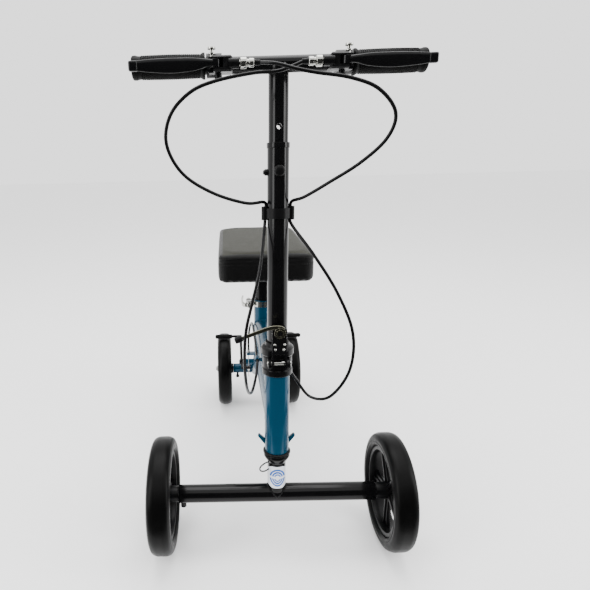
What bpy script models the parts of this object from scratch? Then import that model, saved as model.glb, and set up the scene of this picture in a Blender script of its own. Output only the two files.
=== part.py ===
"""A steerable knee scooter: welded frame, folding steering column, handlebar, knee seat and brakes.

Metres, +Z up, the front faces -Y, +X is on the right as seen from the front.
The origin is on the floor, under the middle of the scooter.
The column's parts are drawn in the column's own frame, whose +Z is the steering axis and whose
origin is the middle of the front axle. The other parts are drawn in the world frame.
"""

import math

import bmesh
import bpy
from mathutils import Matrix, Vector

# Running gear
WHEELBASE = 0.528
FRONT_WHEEL_RADIUS, FRONT_WHEEL_X, FRONT_TYRE_WIDTH = 0.099, 0.1975, 0.0386
REAR_WHEEL_RADIUS, REAR_WHEEL_X, REAR_TYRE_WIDTH = 0.0975, 0.0898, 0.0364
FRONT_AXLE_Y = -(WHEELBASE + REAR_WHEEL_RADIUS - FRONT_WHEEL_RADIUS) / 2
REAR_AXLE_Y = FRONT_AXLE_Y + WHEELBASE
AXLE_ROD_RADIUS = 0.005
FRONT_TUBE_RADIUS, FRONT_TUBE_HALF = 0.0155, 0.1715
REAR_TUBE_RADIUS, REAR_TUBE_HALF = 0.0127, 0.066
GAP = 0.0003

# Frame
LEAN = math.radians(2.5)
FRAME_TUBE_RADIUS = 0.01905
SEAT_TUBE_Y = FRONT_AXLE_Y + 0.335
SEAT_TUBE_BOTTOM, SEAT_TUBE_TOP = 0.185, 0.3545
TOP_TUBE_Z, LOWER_TUBE_FRONT_Z, LOWER_TUBE_REAR_Z = 0.2915, 0.2415, 0.2165
BRAKE_PIVOT = (REAR_AXLE_Y - 0.068, 0.1465)
CABLE_STOP = (0.0285, REAR_AXLE_Y - 0.104, 0.187)

# Steering column, in the column's frame
HEAD_TUBE_RADIUS, HEAD_TUBE_BOTTOM, HEAD_TUBE_TOP = 0.0203, 0.0858, 0.2263
STEERER_RADIUS = 0.0127
CATCH_PIN = (-0.0285, 0.2535)
FOLD_HINGE = (0.029, 0.2625)
LATCH_PIVOT = (-0.0255, 0.3050)
FOLD_LEVER_PIVOT_H = 0.3070
STEM_RADIUS, STEM_BORE, STEM_BOTTOM, STEM_TOP = 0.0159, 0.0146, 0.2683, 0.5836
CLIP_H, CLIP_CABLE_X = 0.4835, 0.0198
HEIGHT_KNOB_H = 0.5446

# Handlebar, in the column's frame
POST_RADIUS, POST_BORE, POST_BOTTOM = 0.0143, 0.0120, 0.3550
HOLE_PITCH, HOLE_COUNT, TOP_HOLE_H = 0.030, 4, 0.6046
BAR_H, BAR_RADIUS, BAR_HALF = 0.6872, 0.0111, 0.2032
GRIP_START, GRIP_END = 0.1025, 0.2042
BRAKE_LEVER_PIVOT = (0.0880, -0.0300)
LOCK_PIN = (0.0925, -0.0190)
ADJUSTER_Y, ADJUSTER_H = -0.0330, 0.6835

# Seat
SEAT_POST_RADIUS = 0.0170
PAD_X, PAD_Y, PAD_WIDTH, PAD_LENGTH = -0.005, FRONT_AXLE_Y + 0.3347, 0.173, 0.344
PAD_BOTTOM, PAD_TOP = 0.4443, 0.489
CABLE_RADIUS, WIRE_RADIUS = 0.0025, 0.0008

FINE, ROUND, SMALL, TINY = 28, 20, 12, 8

for old in list(bpy.data.objects):
    bpy.data.objects.remove(old)

scooter = bpy.data.collections.new("knee_scooter")
helpers = bpy.data.collections.new("cutters")
helpers.hide_render = True
bpy.context.scene.collection.children.link(scooter)
bpy.context.scene.collection.children.link(helpers)

column = bpy.data.objects.new("column_axis", None)
column.location = (0, FRONT_AXLE_Y, FRONT_WHEEL_RADIUS)
column.rotation_euler = (-LEAN, 0, 0)
scooter.objects.link(column)


def paint(name, colour, roughness, metallic):
    material = bpy.data.materials.new(name)
    material.use_nodes = True
    surface = material.node_tree.nodes["Principled BSDF"]
    surface.inputs["Base Color"].default_value = (*colour, 1)
    surface.inputs["Roughness"].default_value = roughness
    surface.inputs["Metallic"].default_value = metallic
    return material


TEAL = paint("teal_paint", (0.004, 0.100, 0.210), 0.28, 0.55)
BLACK = paint("black_paint", (0.006, 0.006, 0.007), 0.20, 0.0)
CAST = paint("black_casting", (0.010, 0.010, 0.011), 0.38, 0.0)
CHROME = paint("chrome", (0.75, 0.75, 0.75), 0.10, 1.0)
STEEL = paint("steel", (0.50, 0.50, 0.50), 0.32, 1.0)
TYRE = paint("tyre_rubber", (0.012, 0.012, 0.012), 0.55, 0.0)
RIM = paint("rim_plastic", (0.010, 0.010, 0.011), 0.35, 0.0)
RUBBER = paint("grip_rubber", (0.010, 0.010, 0.010), 0.65, 0.0)
VINYL = paint("pad_cover", (0.045, 0.045, 0.035), 0.55, 0.0)
BOARD = paint("board_black", (0.012, 0.012, 0.012), 0.60, 0.0)
JACKET = paint("cable_jacket", (0.010, 0.010, 0.010), 0.35, 0.0)
PLASTIC = paint("black_plastic", (0.010, 0.010, 0.010), 0.45, 0.0)
DECAL = paint("badge_white", (0.70, 0.74, 0.80), 0.30, 0.0)


def mesh_from(bm):
    """The mesh of bm, smooth except across sharp edges."""
    bmesh.ops.recalc_face_normals(bm, faces=bm.faces)
    mesh = bpy.data.meshes.new("shape")
    bm.to_mesh(mesh)
    bm.free()
    mesh.shade_smooth()
    mesh.set_sharp_from_angle(angle=math.radians(40))
    return mesh


def rod(start, end, radius, sides=ROUND, end_radius=None):
    """A round bar between two points."""
    start, end = Vector(start), Vector(end)
    along = end - start
    bm = bmesh.new()
    turn = along.to_track_quat("Z", "Y").to_matrix().to_4x4()
    bmesh.ops.create_cone(
        bm,
        cap_ends=True,
        segments=sides,
        radius1=radius,
        radius2=radius if end_radius is None else end_radius,
        depth=along.length,
        matrix=Matrix.Translation((start + end) / 2) @ turn,
    )
    return mesh_from(bm)


def box(low, high, bevel=0.0, steps=1):
    """A block between two corners, with its edges rounded by bevel."""
    low, high = Vector(low), Vector(high)
    bm = bmesh.new()
    size = Matrix.Diagonal((*(high - low), 1))
    bmesh.ops.create_cube(bm, size=1, matrix=Matrix.Translation((low + high) / 2) @ size)
    if bevel:
        bmesh.ops.bevel(
            bm, geom=bm.edges[:], offset=bevel, segments=steps, affect="EDGES", profile=0.5
        )
    return mesh_from(bm)


def dome(centre, radius, squash=(1, 1, 1), sides=SMALL):
    """A ball, squashed along the axes."""
    bm = bmesh.new()
    place = Matrix.Translation(centre) @ Matrix.Diagonal((*squash, 1))
    bmesh.ops.create_uvsphere(bm, u_segments=sides, v_segments=sides // 2, radius=radius, matrix=place)
    return mesh_from(bm)


def lathe(profile, centre=(0, 0, 0), axis="Z", sides=FINE):
    """A closed outline of (radius, height) turned about an axis through centre."""
    bm = bmesh.new()
    points = [bm.verts.new((radius, 0, height)) for radius, height in profile]
    pairs = zip(points, points[1:] + points[:1])
    edges = [bm.edges.new((a, b)) for a, b in pairs if a.co.x or b.co.x]
    bmesh.ops.spin(
        bm,
        geom=points + edges,
        cent=(0, 0, 0),
        axis=(0, 0, 1),
        angle=2 * math.pi,
        steps=sides,
        use_merge=True,
    )
    bmesh.ops.remove_doubles(bm, verts=bm.verts, dist=1e-6)
    towards = {"X": Matrix.Rotation(math.pi / 2, 4, "Y"), "-X": Matrix.Rotation(-math.pi / 2, 4, "Y")}
    bmesh.ops.transform(
        bm, verts=bm.verts, matrix=Matrix.Translation(centre) @ towards.get(axis, Matrix())
    )
    return mesh_from(bm)


def plate(outline, low, high, axes="XYZ"):
    """A flat outline made into a plate from low to high along the last of the axes."""
    order = ["XYZ".index(letter) for letter in axes]
    bm = bmesh.new()
    corners = []
    for first, second in outline:
        point = [0.0, 0.0, 0.0]
        point[order[0]], point[order[1]], point[order[2]] = first, second, low
        corners.append(bm.verts.new(point))
    face = bm.faces.new(corners)
    made = bmesh.ops.extrude_face_region(bm, geom=[face])["geom"]
    rise = [0.0, 0.0, 0.0]
    rise[order[2]] = high - low
    moved = [item for item in made if isinstance(item, bmesh.types.BMVert)]
    bmesh.ops.translate(bm, verts=moved, vec=rise)
    return mesh_from(bm)


def strip(line, widths):
    """The outline of a band that follows a line of points, with a width at each."""
    left, right = [], []
    for i, (x, y) in enumerate(line):
        before, after = line[max(i - 1, 0)], line[min(i + 1, len(line) - 1)]
        along = Vector((after[0] - before[0], after[1] - before[1])).normalized()
        side = Vector((-along.y, along.x)) * widths[i] / 2
        left.append((x + side.x, y + side.y))
        right.append((x - side.x, y - side.y))
    return left + right[::-1]


def part(name, base, material, origin=(0, 0, 0), frame=None, add=(), cut=(), last=()):
    """One named piece: a base shape with others joined to it, cut from it, and joined last."""
    place = Matrix.Translation(-Vector(origin))

    def put(label, mesh, collection):
        mesh.transform(place)
        made = bpy.data.objects.new(label, mesh)
        made.location = origin
        made.parent = frame
        collection.objects.link(made)
        return made

    obj = put(name, base, scooter)
    obj.data.materials.append(material)
    for number, (mesh, operation) in enumerate(
        [(m, "UNION") for m in add]
        + [(m, "DIFFERENCE") for m in cut]
        + [(m, "UNION") for m in last]
    ):
        helper = put(f"{name}_{operation.lower()}_{number}", mesh, helpers)
        helper.display_type = "WIRE"
        helper.hide_render = True
        modifier = obj.modifiers.new(helper.name, "BOOLEAN")
        modifier.operation = operation
        modifier.solver = "EXACT"
        modifier.object = helper
    return obj


def in_world(x, y, h):
    """A point of the column's frame, in the world."""
    return Vector(
        (
            x,
            FRONT_AXLE_Y + y * math.cos(LEAN) + h * math.sin(LEAN),
            FRONT_WHEEL_RADIUS - y * math.sin(LEAN) + h * math.cos(LEAN),
        )
    )


def smooth_line(knots, step):
    """Points about step apart on a curve through the knots."""
    knots = [Vector(k) for k in knots]
    padded = [2 * knots[0] - knots[1], *knots, 2 * knots[-1] - knots[-2]]
    line = []
    for a, b, c, d in zip(padded, padded[1:], padded[2:], padded[3:]):
        count = max(1, round((c - b).length / step))
        for i in range(count):
            t = i / count
            line.append(
                0.5
                * (
                    2 * b
                    + (c - a) * t
                    + (2 * a - 5 * b + 4 * c - d) * t**2
                    + (3 * b - a - 3 * c + d) * t**3
                )
            )
    return [*line, knots[-1]]


def cable(name, knots, step, thin_from=None):
    """A cable's jacket along a route; past the thin_from height it is the bare inner wire."""
    curve = bpy.data.curves.new(name, "CURVE")
    curve.dimensions = "3D"
    curve.bevel_depth = CABLE_RADIUS
    curve.bevel_resolution = 2
    curve.use_fill_caps = True
    spline = curve.splines.new("POLY")
    line = smooth_line(knots, step)
    spline.points.add(len(line) - 1)
    for point, place in zip(spline.points, line):
        point.co = (*place, 1)
        if thin_from is not None and place.z < thin_from:
            point.radius = WIRE_RADIUS / CABLE_RADIUS
    curve.materials.append(JACKET)
    obj = bpy.data.objects.new(name, curve)
    scooter.objects.link(obj)
    return obj


SIDES = (("left", -1), ("right", 1))


# --- Wheels ---------------------------------------------------------------------------------


def wheel(name, x, y, radius, tyre_width, inner_hub, outer_hub, side):
    """A solid tyre on a five-spoke rim that turns on the axle rod."""
    half, bead = tyre_width / 2, radius - 0.0228
    crown = [(bead, -half + 0.0045), (radius - 0.0190, -half), (radius - 0.0100, -half)]
    crown += [(radius - 0.0035, -half + 0.0030), (radius, -half + 0.0095)]
    profile = crown + [(r, -w) for r, w in crown[::-1]]
    axis = "X" if side > 0 else "-X"
    tyre = lathe(profile, (x, y, radius), axis, 30)
    part(f"{name}_tyre", tyre, TYRE, (x, y, radius))
    rim, lip, web, hub = bead - GAP, bead - 0.0085, 0.0045, 0.0145
    section = [
        (AXLE_ROD_RADIUS + GAP, -inner_hub),
        (hub - 0.001, -inner_hub),
        (hub, -web),
        (lip, -web),
        (lip + 0.001, -half + 0.0050),
        (rim, -half + 0.0050),
        (rim, half - 0.0050),
        (lip + 0.001, half - 0.0050),
        (lip, web),
        (hub, web),
        (hub - 0.001, outer_hub),
        (AXLE_ROD_RADIUS + GAP, outer_hub),
    ]
    windows = []
    for k in range(5):
        middle = math.radians(90 + 72 * k)
        outline = []
        for spread in (0.44, 0.15, -0.15, -0.44):
            outline.append((lip - 0.004, spread))
        outline += [(hub + 0.008, -0.30), (hub + 0.008, 0.30)]
        points = [
            (y + r * math.cos(middle + a), radius + r * math.sin(middle + a)) for r, a in outline
        ]
        windows.append(plate(points, x - 0.02, x + 0.02, "YZX"))
    body = lathe(section, (x, y, radius), axis, 30)
    part(f"{name}_rim", body, RIM, (x, y, radius), cut=windows)


for label, side in SIDES:
    wheel(
        f"front_{label}",
        side * FRONT_WHEEL_X,
        FRONT_AXLE_Y,
        FRONT_WHEEL_RADIUS,
        FRONT_TYRE_WIDTH,
        FRONT_WHEEL_X - FRONT_TUBE_HALF - 2 * GAP,
        0.0105,
        side,
    )
    wheel(
        f"rear_{label}",
        side * REAR_WHEEL_X,
        REAR_AXLE_Y,
        REAR_WHEEL_RADIUS,
        REAR_TYRE_WIDTH,
        REAR_WHEEL_X - REAR_TUBE_HALF - 2 * GAP,
        0.0178,
        side,
    )


def axle_rod(name, y, z, half, nut_start, nut_length):
    """A through rod with a nut on each end."""
    nuts = [
        rod((s * nut_start, y, z), (s * (nut_start + nut_length), y, z), 0.0078, 6)
        for s in (-1, 1)
    ]
    part(
        name,
        rod((-half, y, z), (half, y, z), AXLE_ROD_RADIUS, SMALL),
        STEEL,
        (0, y, z),
        add=nuts,
    )


axle_rod("front_axle_rod", FRONT_AXLE_Y, FRONT_WHEEL_RADIUS, 0.2160, 0.2085, 0.006)
axle_rod("rear_axle_rod", REAR_AXLE_Y, REAR_WHEEL_RADIUS, 0.1150, 0.1081, 0.005)


# --- Welded frame ---------------------------------------------------------------------------


def along_x(half, y, z, radius, sides=ROUND):
    return rod((-half, y, z), (half, y, z), radius, sides)


def head_core(radius):
    """The head tube's outside, in the world, to cope the tubes that meet it."""
    return rod(in_world(0, 0, 0.05), in_world(0, 0, 0.26), radius, FINE)


part(
    "head_tube",
    rod((0, 0, HEAD_TUBE_BOTTOM), (0, 0, HEAD_TUBE_TOP), HEAD_TUBE_RADIUS, FINE),
    TEAL,
    frame=column,
    add=[
        plate(
            [(s * 0.0150, 0.0930), (s * 0.0200, 0.0925), (s * 0.0315, 0.1080), (s * 0.0285, 0.1120)]
            + [(s * 0.0170, 0.1010)],
            0.002,
            0.012,
            "XZY",
        )
        for s in (-1, 1)
    ],
    cut=[rod((0, 0, 0.08), (0, 0, 0.24), 0.0170, ROUND)],
)


def head_ring(name, radius, low, high, skirt_low, skirt_high):
    """A bearing cup: a flange on the tube's end and a skirt inside it."""
    bore, skirt = STEERER_RADIUS + GAP, 0.0170 - GAP
    flange_outside = [(radius, low), (radius, high)]
    if skirt_high > high:
        outline = [(bore, low), *flange_outside, (skirt, high), (skirt, skirt_high), (bore, skirt_high)]
    else:
        outline = [(bore, skirt_low), (skirt, skirt_low), (skirt, low), *flange_outside, (bore, high)]
    part(name, lathe(outline, sides=ROUND), CAST, frame=column)


head_ring("headset_cup_lower", 0.0233, 0.0805, HEAD_TUBE_BOTTOM - GAP, 0, 0.094)
head_ring("headset_cup_upper", 0.0245, HEAD_TUBE_TOP + GAP, 0.2380, 0.218, 0)


def seat_core(radius):
    return rod((0, SEAT_TUBE_Y, 0.1), (0, SEAT_TUBE_Y, 0.4), radius, FINE)


def frame_tube(name, start, end, add=(), cut=()):
    part(name, rod(start, end, FRAME_TUBE_RADIUS, ROUND), TEAL, add=add, cut=cut)


GUIDE_Y = FRONT_AXLE_Y + 0.13
CABLE_RUN_X, CABLE_RUN_Z = 0.0253, 0.2975
guide_hoops = []
guide_holes = []
for s in (-1, 1):
    x = s * CABLE_RUN_X
    guide_hoops.append(
        rod((x, GUIDE_Y - 0.007, CABLE_RUN_Z), (x, GUIDE_Y + 0.007, CABLE_RUN_Z), 0.0046, SMALL)
    )
    guide_hoops.append(
        box(
            (min(s * 0.016, s * 0.024), GUIDE_Y - 0.005, CABLE_RUN_Z - 0.0025),
            (max(s * 0.016, s * 0.024), GUIDE_Y + 0.005, CABLE_RUN_Z + 0.0005),
        )
    )
    guide_holes.append(
        rod((x, GUIDE_Y - 0.02, CABLE_RUN_Z), (x, GUIDE_Y + 0.02, CABLE_RUN_Z), 0.0029, SMALL)
    )
frame_tube(
    "top_tube",
    (0, FRONT_AXLE_Y + 0.009, TOP_TUBE_Z),
    (0, SEAT_TUBE_Y, TOP_TUBE_Z),
    add=guide_hoops,
    cut=[head_core(HEAD_TUBE_RADIUS + GAP), seat_core(FRAME_TUBE_RADIUS + GAP), *guide_holes],
)
frame_tube(
    "lower_tube",
    (0, FRONT_AXLE_Y + 0.007, LOWER_TUBE_FRONT_Z),
    (0, SEAT_TUBE_Y, LOWER_TUBE_REAR_Z),
    cut=[head_core(HEAD_TUBE_RADIUS + GAP), seat_core(FRAME_TUBE_RADIUS + GAP)],
)
part(
    "seat_tube",
    seat_core(FRAME_TUBE_RADIUS),
    TEAL,
    (0, SEAT_TUBE_Y, SEAT_TUBE_BOTTOM),
    cut=[
        seat_core(SEAT_POST_RADIUS + GAP),
        box((-0.1, SEAT_TUBE_Y - 0.1, 0.05), (0.1, SEAT_TUBE_Y + 0.1, SEAT_TUBE_BOTTOM)),
        box((-0.1, SEAT_TUBE_Y - 0.1, SEAT_TUBE_TOP), (0.1, SEAT_TUBE_Y + 0.1, 0.45)),
        box((-0.03, SEAT_TUBE_Y - 0.0012, 0.325), (-0.01, SEAT_TUBE_Y + 0.0012, 0.36)),
    ],
)
stop_x, stop_y, stop_z = CABLE_STOP
frame_tube(
    "rear_tube",
    (0, SEAT_TUBE_Y, LOWER_TUBE_REAR_Z),
    (0, REAR_AXLE_Y, REAR_WHEEL_RADIUS),
    add=[
        box((-0.0335, stop_y - 0.010, stop_z - 0.0040), (0.0335, stop_y + 0.010, stop_z - 0.0008), 0.0008),
        along_x(0.0345, *BRAKE_PIVOT, 0.0075, ROUND),
        along_x(0.0520, *BRAKE_PIVOT, 0.0045, SMALL),
    ],
    cut=[
        seat_core(FRAME_TUBE_RADIUS + GAP),
        along_x(0.08, REAR_AXLE_Y, REAR_WHEEL_RADIUS, REAR_TUBE_RADIUS + GAP, FINE),
        *(
            rod((s * stop_x, stop_y, stop_z - 0.02), (s * stop_x, stop_y, stop_z + 0.02), 0.0013, 12)
            for s in (-1, 1)
        ),
    ],
)
part(
    "rear_axle_tube",
    along_x(REAR_TUBE_HALF, REAR_AXLE_Y, REAR_WHEEL_RADIUS, REAR_TUBE_RADIUS, FINE),
    TEAL,
    (0, REAR_AXLE_Y, REAR_WHEEL_RADIUS),
    add=[
        rod((-0.055, REAR_AXLE_Y, 0.0760), (-0.055, REAR_AXLE_Y, 0.0900), 0.0028, SMALL),
        rod((-0.055, REAR_AXLE_Y, 0.0705), (-0.055, REAR_AXLE_Y, 0.0770), 0.0045, SMALL),
    ],
    cut=[along_x(0.08, REAR_AXLE_Y, REAR_WHEEL_RADIUS, AXLE_ROD_RADIUS + GAP, SMALL)],
)

# --- Fork and folding base ------------------------------------------------------------------

part(
    "front_axle_tube",
    along_x(FRONT_TUBE_HALF, 0, 0, FRONT_TUBE_RADIUS, FINE),
    BLACK,
    frame=column,
    add=[rod((-0.1645, 0, -0.0255), (-0.1645, 0, -0.010), 0.0050, SMALL)],
    cut=[along_x(0.2, 0, 0, AXLE_ROD_RADIUS + GAP, SMALL)],
)
part(
    "fork_post",
    lathe(
        [
            (0, 0.004),
            (FRONT_TUBE_RADIUS, 0.004),
            (FRONT_TUBE_RADIUS, 0.0640),
            (0.0172, 0.0665),
            (0.0222, 0.0760),
            (0.0222, 0.0802),
            (STEERER_RADIUS, 0.0802),
            (STEERER_RADIUS, 0.2440),
            (0, 0.2440),
        ]
    ),
    BLACK,
    frame=column,
    cut=[along_x(0.05, 0, 0, FRONT_TUBE_RADIUS + GAP, FINE)],
)
part(
    "fork_badge",
    lathe([(0.0158, 0.0185), (0.0163, 0.0185), (0.0163, 0.0600), (0.0158, 0.0600)]),
    DECAL,
    frame=column,
    cut=[
        box((-0.03, -0.0055, 0), (0.03, 0.03, 0.1)),
        *(
            plate(
                [
                    (s * 0.0170, low),
                    (s * 0.0170, high),
                    (s * 0.0070, high),
                    (s * 0.0120, (3 * high + low) / 4),
                    (s * 0.0150, (high + low) / 2),
                ],
                -0.03,
                0.0,
                "XZY",
            )
            for s in (-1, 1)
            for low, high in ((0.0500, 0.0610), (0.0285, 0.0175))
        ),
    ],
)

hinge_y, hinge_h = FOLD_HINGE
catch_y, catch_h = CATCH_PIN


def ears(inner, outer, y_low, y_high, h_low, h_high):
    return [
        box((min(s * inner, s * outer), y_low, h_low), (max(s * inner, s * outer), y_high, h_high))
        for s in (-1, 1)
    ]


def round_ears(inner, outer, y, h, radius):
    return [rod((s * inner, y, h), (s * outer, y, h), radius, 16) for s in (-1, 1)]


part(
    "fold_base",
    lathe([(0, 0.2383), (0.0238, 0.2383), (0.0238, 0.2560), (0.0222, 0.2600), (0, 0.2600)]),
    CAST,
    frame=column,
    add=[
        *ears(0.0125, 0.0185, 0.012, hinge_y, 0.2400, 0.2600),
        *round_ears(0.0125, 0.0185, hinge_y, hinge_h, 0.0075),
        *ears(0.0122, 0.0172, catch_y, -0.012, 0.2440, 0.2590),
        *round_ears(0.0122, 0.0172, catch_y, 0.2515, 0.0075),
    ],
    cut=[
        rod((0, 0, 0.23), (0, 0, 0.2443), STEERER_RADIUS + GAP, ROUND),
        along_x(0.0125, hinge_y, hinge_h, 0.0081, 24),
        along_x(0.05, hinge_y, hinge_h, 0.0043, SMALL),
        along_x(0.05, catch_y, catch_h, 0.0033, SMALL),
        box((-0.0122, -0.040, 0.2370), (0.0122, -0.0215, 0.2615)),
    ],
)
part("fold_hinge_pin", along_x(0.0200, hinge_y, hinge_h, 0.0040, SMALL), STEEL, frame=column)
part("catch_pin", along_x(0.0186, catch_y, catch_h, 0.0030, SMALL), CHROME, frame=column)

# --- Stem -----------------------------------------------------------------------------------

hinge_origin = (0, hinge_y, hinge_h)
part(
    "stem_foot",
    lathe(
        [
            (0, 0.2604),
            (0.0252, 0.2604),
            (0.0265, 0.2620),
            (0.0265, 0.2715),
            (0.0235, 0.2745),
            (0.0200, 0.2750),
            (0.0190, 0.2810),
            (STEM_RADIUS + GAP, 0.2810),
            (STEM_RADIUS + GAP, STEM_BOTTOM - GAP),
            (0, STEM_BOTTOM - GAP),
        ]
    ),
    CAST,
    hinge_origin,
    column,
    add=[
        along_x(0.0121, hinge_y, hinge_h, 0.0075, 24),
        box((-0.0120, 0.0170, 0.2606), (0.0120, hinge_y, 0.2700)),
    ],
    cut=[
        *ears(0.0121, 0.0192, 0.0200, 0.045, 0.25, 0.29),
        along_x(0.05, hinge_y, hinge_h, 0.0043, SMALL),
        box((-0.03, -0.04, 0.25), (0.03, -0.0232, 0.29)),
    ],
)
latch_y, latch_h = LATCH_PIVOT
part(
    "stem_tube",
    lathe(
        [
            (STEM_BORE, STEM_BOTTOM),
            (STEM_RADIUS, STEM_BOTTOM),
            (STEM_RADIUS, STEM_TOP - 0.006),
            (STEM_RADIUS + 0.0008, STEM_TOP - 0.005),
            (STEM_RADIUS + 0.0008, STEM_TOP),
            (STEM_BORE, STEM_TOP),
        ]
    ),
    BLACK,
    hinge_origin,
    column,
    add=[
        *(
            plate(
                [(s * 0.0074, latch_y), (s * 0.0106, latch_y), (s * 0.0106, -0.0113)]
                + [(s * 0.0074, -0.0131)],
                0.2990,
                0.3110,
            )
            for s in (-1, 1)
        ),
        *round_ears(0.0072, 0.0108, latch_y, latch_h, 0.0058),
        along_x(0.0090, latch_y, latch_h, 0.0025, SMALL),
        rod((0, -0.0150, HEIGHT_KNOB_H), (0, -0.0190, HEIGHT_KNOB_H), 0.0068, ROUND),
        rod((-0.0150, 0, HEIGHT_KNOB_H - 0.002), (-0.0200, 0, HEIGHT_KNOB_H - 0.002), 0.0048, SMALL),
        rod(
            (-0.0195, 0, HEIGHT_KNOB_H - 0.002),
            (-0.0222, 0, HEIGHT_KNOB_H - 0.002),
            0.0040,
            SMALL,
            0.0028,
        ),
    ],
    cut=[rod((0, -0.0200, HEIGHT_KNOB_H), (0, -0.0100, HEIGHT_KNOB_H), 0.0040, SMALL)],
)
part(
    "cable_clip",
    rod((0, 0, CLIP_H - 0.0075), (0, 0, CLIP_H + 0.0075), 0.0185, FINE),
    PLASTIC,
    hinge_origin,
    column,
    add=[
        rod(
            (s * CLIP_CABLE_X, 0, CLIP_H - 0.0100), (s * CLIP_CABLE_X, 0, CLIP_H + 0.0100), 0.0050, SMALL
        )
        for s in (-1, 1)
    ],
    cut=[
        rod((0, 0, CLIP_H - 0.02), (0, 0, CLIP_H + 0.02), STEM_RADIUS + GAP, FINE),
        *(
            rod(
                (s * CLIP_CABLE_X, 0, CLIP_H - 0.02), (s * CLIP_CABLE_X, 0, CLIP_H + 0.02), 0.0028, SMALL
            )
            for s in (-1, 1)
        ),
    ],
)
part(
    "height_knob",
    rod((0, -0.0193, HEIGHT_KNOB_H), (0, -0.0225, HEIGHT_KNOB_H), 0.0082, 24),
    PLASTIC,
    (0, -0.0193, HEIGHT_KNOB_H),
    column,
    add=[
        dome((0, -0.0224, HEIGHT_KNOB_H), 0.0080, (1, 0.36, 1), 16),
        rod((0, -0.0205, HEIGHT_KNOB_H), (0, -0.0149, HEIGHT_KNOB_H), 0.0036, SMALL),
    ],
)

# --- Fold latch -----------------------------------------------------------------------------

hook_side = [(-0.0365, 0.2462), (-0.0275, 0.2462), (-0.0275, 0.2484), (-0.0325, 0.2484)]
hook_side += [(-0.0325, 0.2750), (-0.0365, 0.2750)]
part(
    "latch_hook",
    box((-0.0115, -0.0365, 0.2700), (0.0115, -0.0325, 0.3120), 0.0008),
    CAST,
    (0, latch_y, latch_h),
    column,
    add=[
        along_x(0.0072, latch_y, latch_h, 0.0055, 24),
        box((-0.0072, -0.0345, 0.3012), (0.0072, -0.0270, 0.3088)),
        *(
            plate(hook_side, min(s * 0.0083, s * 0.0115), max(s * 0.0083, s * 0.0115), "YZX")
            for s in (-1, 1)
        ),
        rod((0, -0.0360, FOLD_LEVER_PIVOT_H), (0, -0.0440, FOLD_LEVER_PIVOT_H), 0.0030, SMALL),
        dome((-0.0065, -0.0365, 0.2790), 0.0026, (1, 0.6, 1), TINY),
        dome((0.0065, -0.0365, 0.2790), 0.0026, (1, 0.6, 1), TINY),
        dome((-0.0075, -0.0365, 0.2870), 0.0022, (1, 0.6, 1), TINY),
        dome((0.0075, -0.0365, 0.2870), 0.0022, (1, 0.6, 1), TINY),
    ],
    cut=[along_x(0.02, latch_y, latch_h, 0.0028, SMALL)],
)
lever_line = [(0.0060, 0.3115), (0.0010, 0.3150), (-0.0070, 0.3160), (-0.0180, 0.3145)]
lever_line += [(-0.0320, 0.3095), (-0.0470, 0.3040), (-0.0590, 0.2995)]
lever_pivot = (0, -0.0405, FOLD_LEVER_PIVOT_H)
part(
    "fold_lever",
    rod((0, -0.0385, FOLD_LEVER_PIVOT_H), (0, -0.0425, FOLD_LEVER_PIVOT_H), 0.0088, 32),
    CHROME,
    lever_pivot,
    column,
    add=[
        plate(
            strip(lever_line, [0.008, 0.0075, 0.0065, 0.006, 0.006, 0.006, 0.0055]),
            -0.0421,
            -0.0388,
            "XZY",
        )
    ],
    cut=[rod((0, -0.03, FOLD_LEVER_PIVOT_H), (0, -0.05, FOLD_LEVER_PIVOT_H), 0.0033, SMALL)],
)
part(
    "fold_lever_tip",
    rod((-0.0575, -0.0405, 0.3003), (-0.0685, -0.0405, 0.2958), 0.0052, SMALL),
    PLASTIC,
    lever_pivot,
    column,
    cut=[
        plate(
            strip(
                [(x, h) for x, h in lever_line[-3:]],
                [0.0066, 0.0066, 0.0061],
            ),
            -0.0424,
            -0.0385,
            "XZY",
        ),
        rod((-0.0560, -0.0405, 0.3009), (-0.0593, -0.0405, 0.2995), 0.0040, SMALL),
    ],
)

# --- Handlebar ------------------------------------------------------------------------------

part(
    "handlebar_post",
    rod((0, 0, POST_BOTTOM), (0, 0, BAR_H), POST_RADIUS, FINE),
    BLACK,
    (0, 0, BAR_H),
    column,
    cut=[
        rod((0, 0, POST_BOTTOM - 0.01), (0, 0, BAR_H - 0.020), POST_BORE, ROUND),
        along_x(0.05, 0, BAR_H, BAR_RADIUS + GAP, FINE),
        *(
            rod(
                (0, -0.03, TOP_HOLE_H - k * HOLE_PITCH), (0, 0.03, TOP_HOLE_H - k * HOLE_PITCH), 0.004, TINY
            )
            for k in range(HOLE_COUNT)
        ),
    ],
)
part("crossbar", along_x(BAR_HALF, 0, BAR_H, BAR_RADIUS, FINE), BLACK, (0, 0, BAR_H), column)

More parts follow.
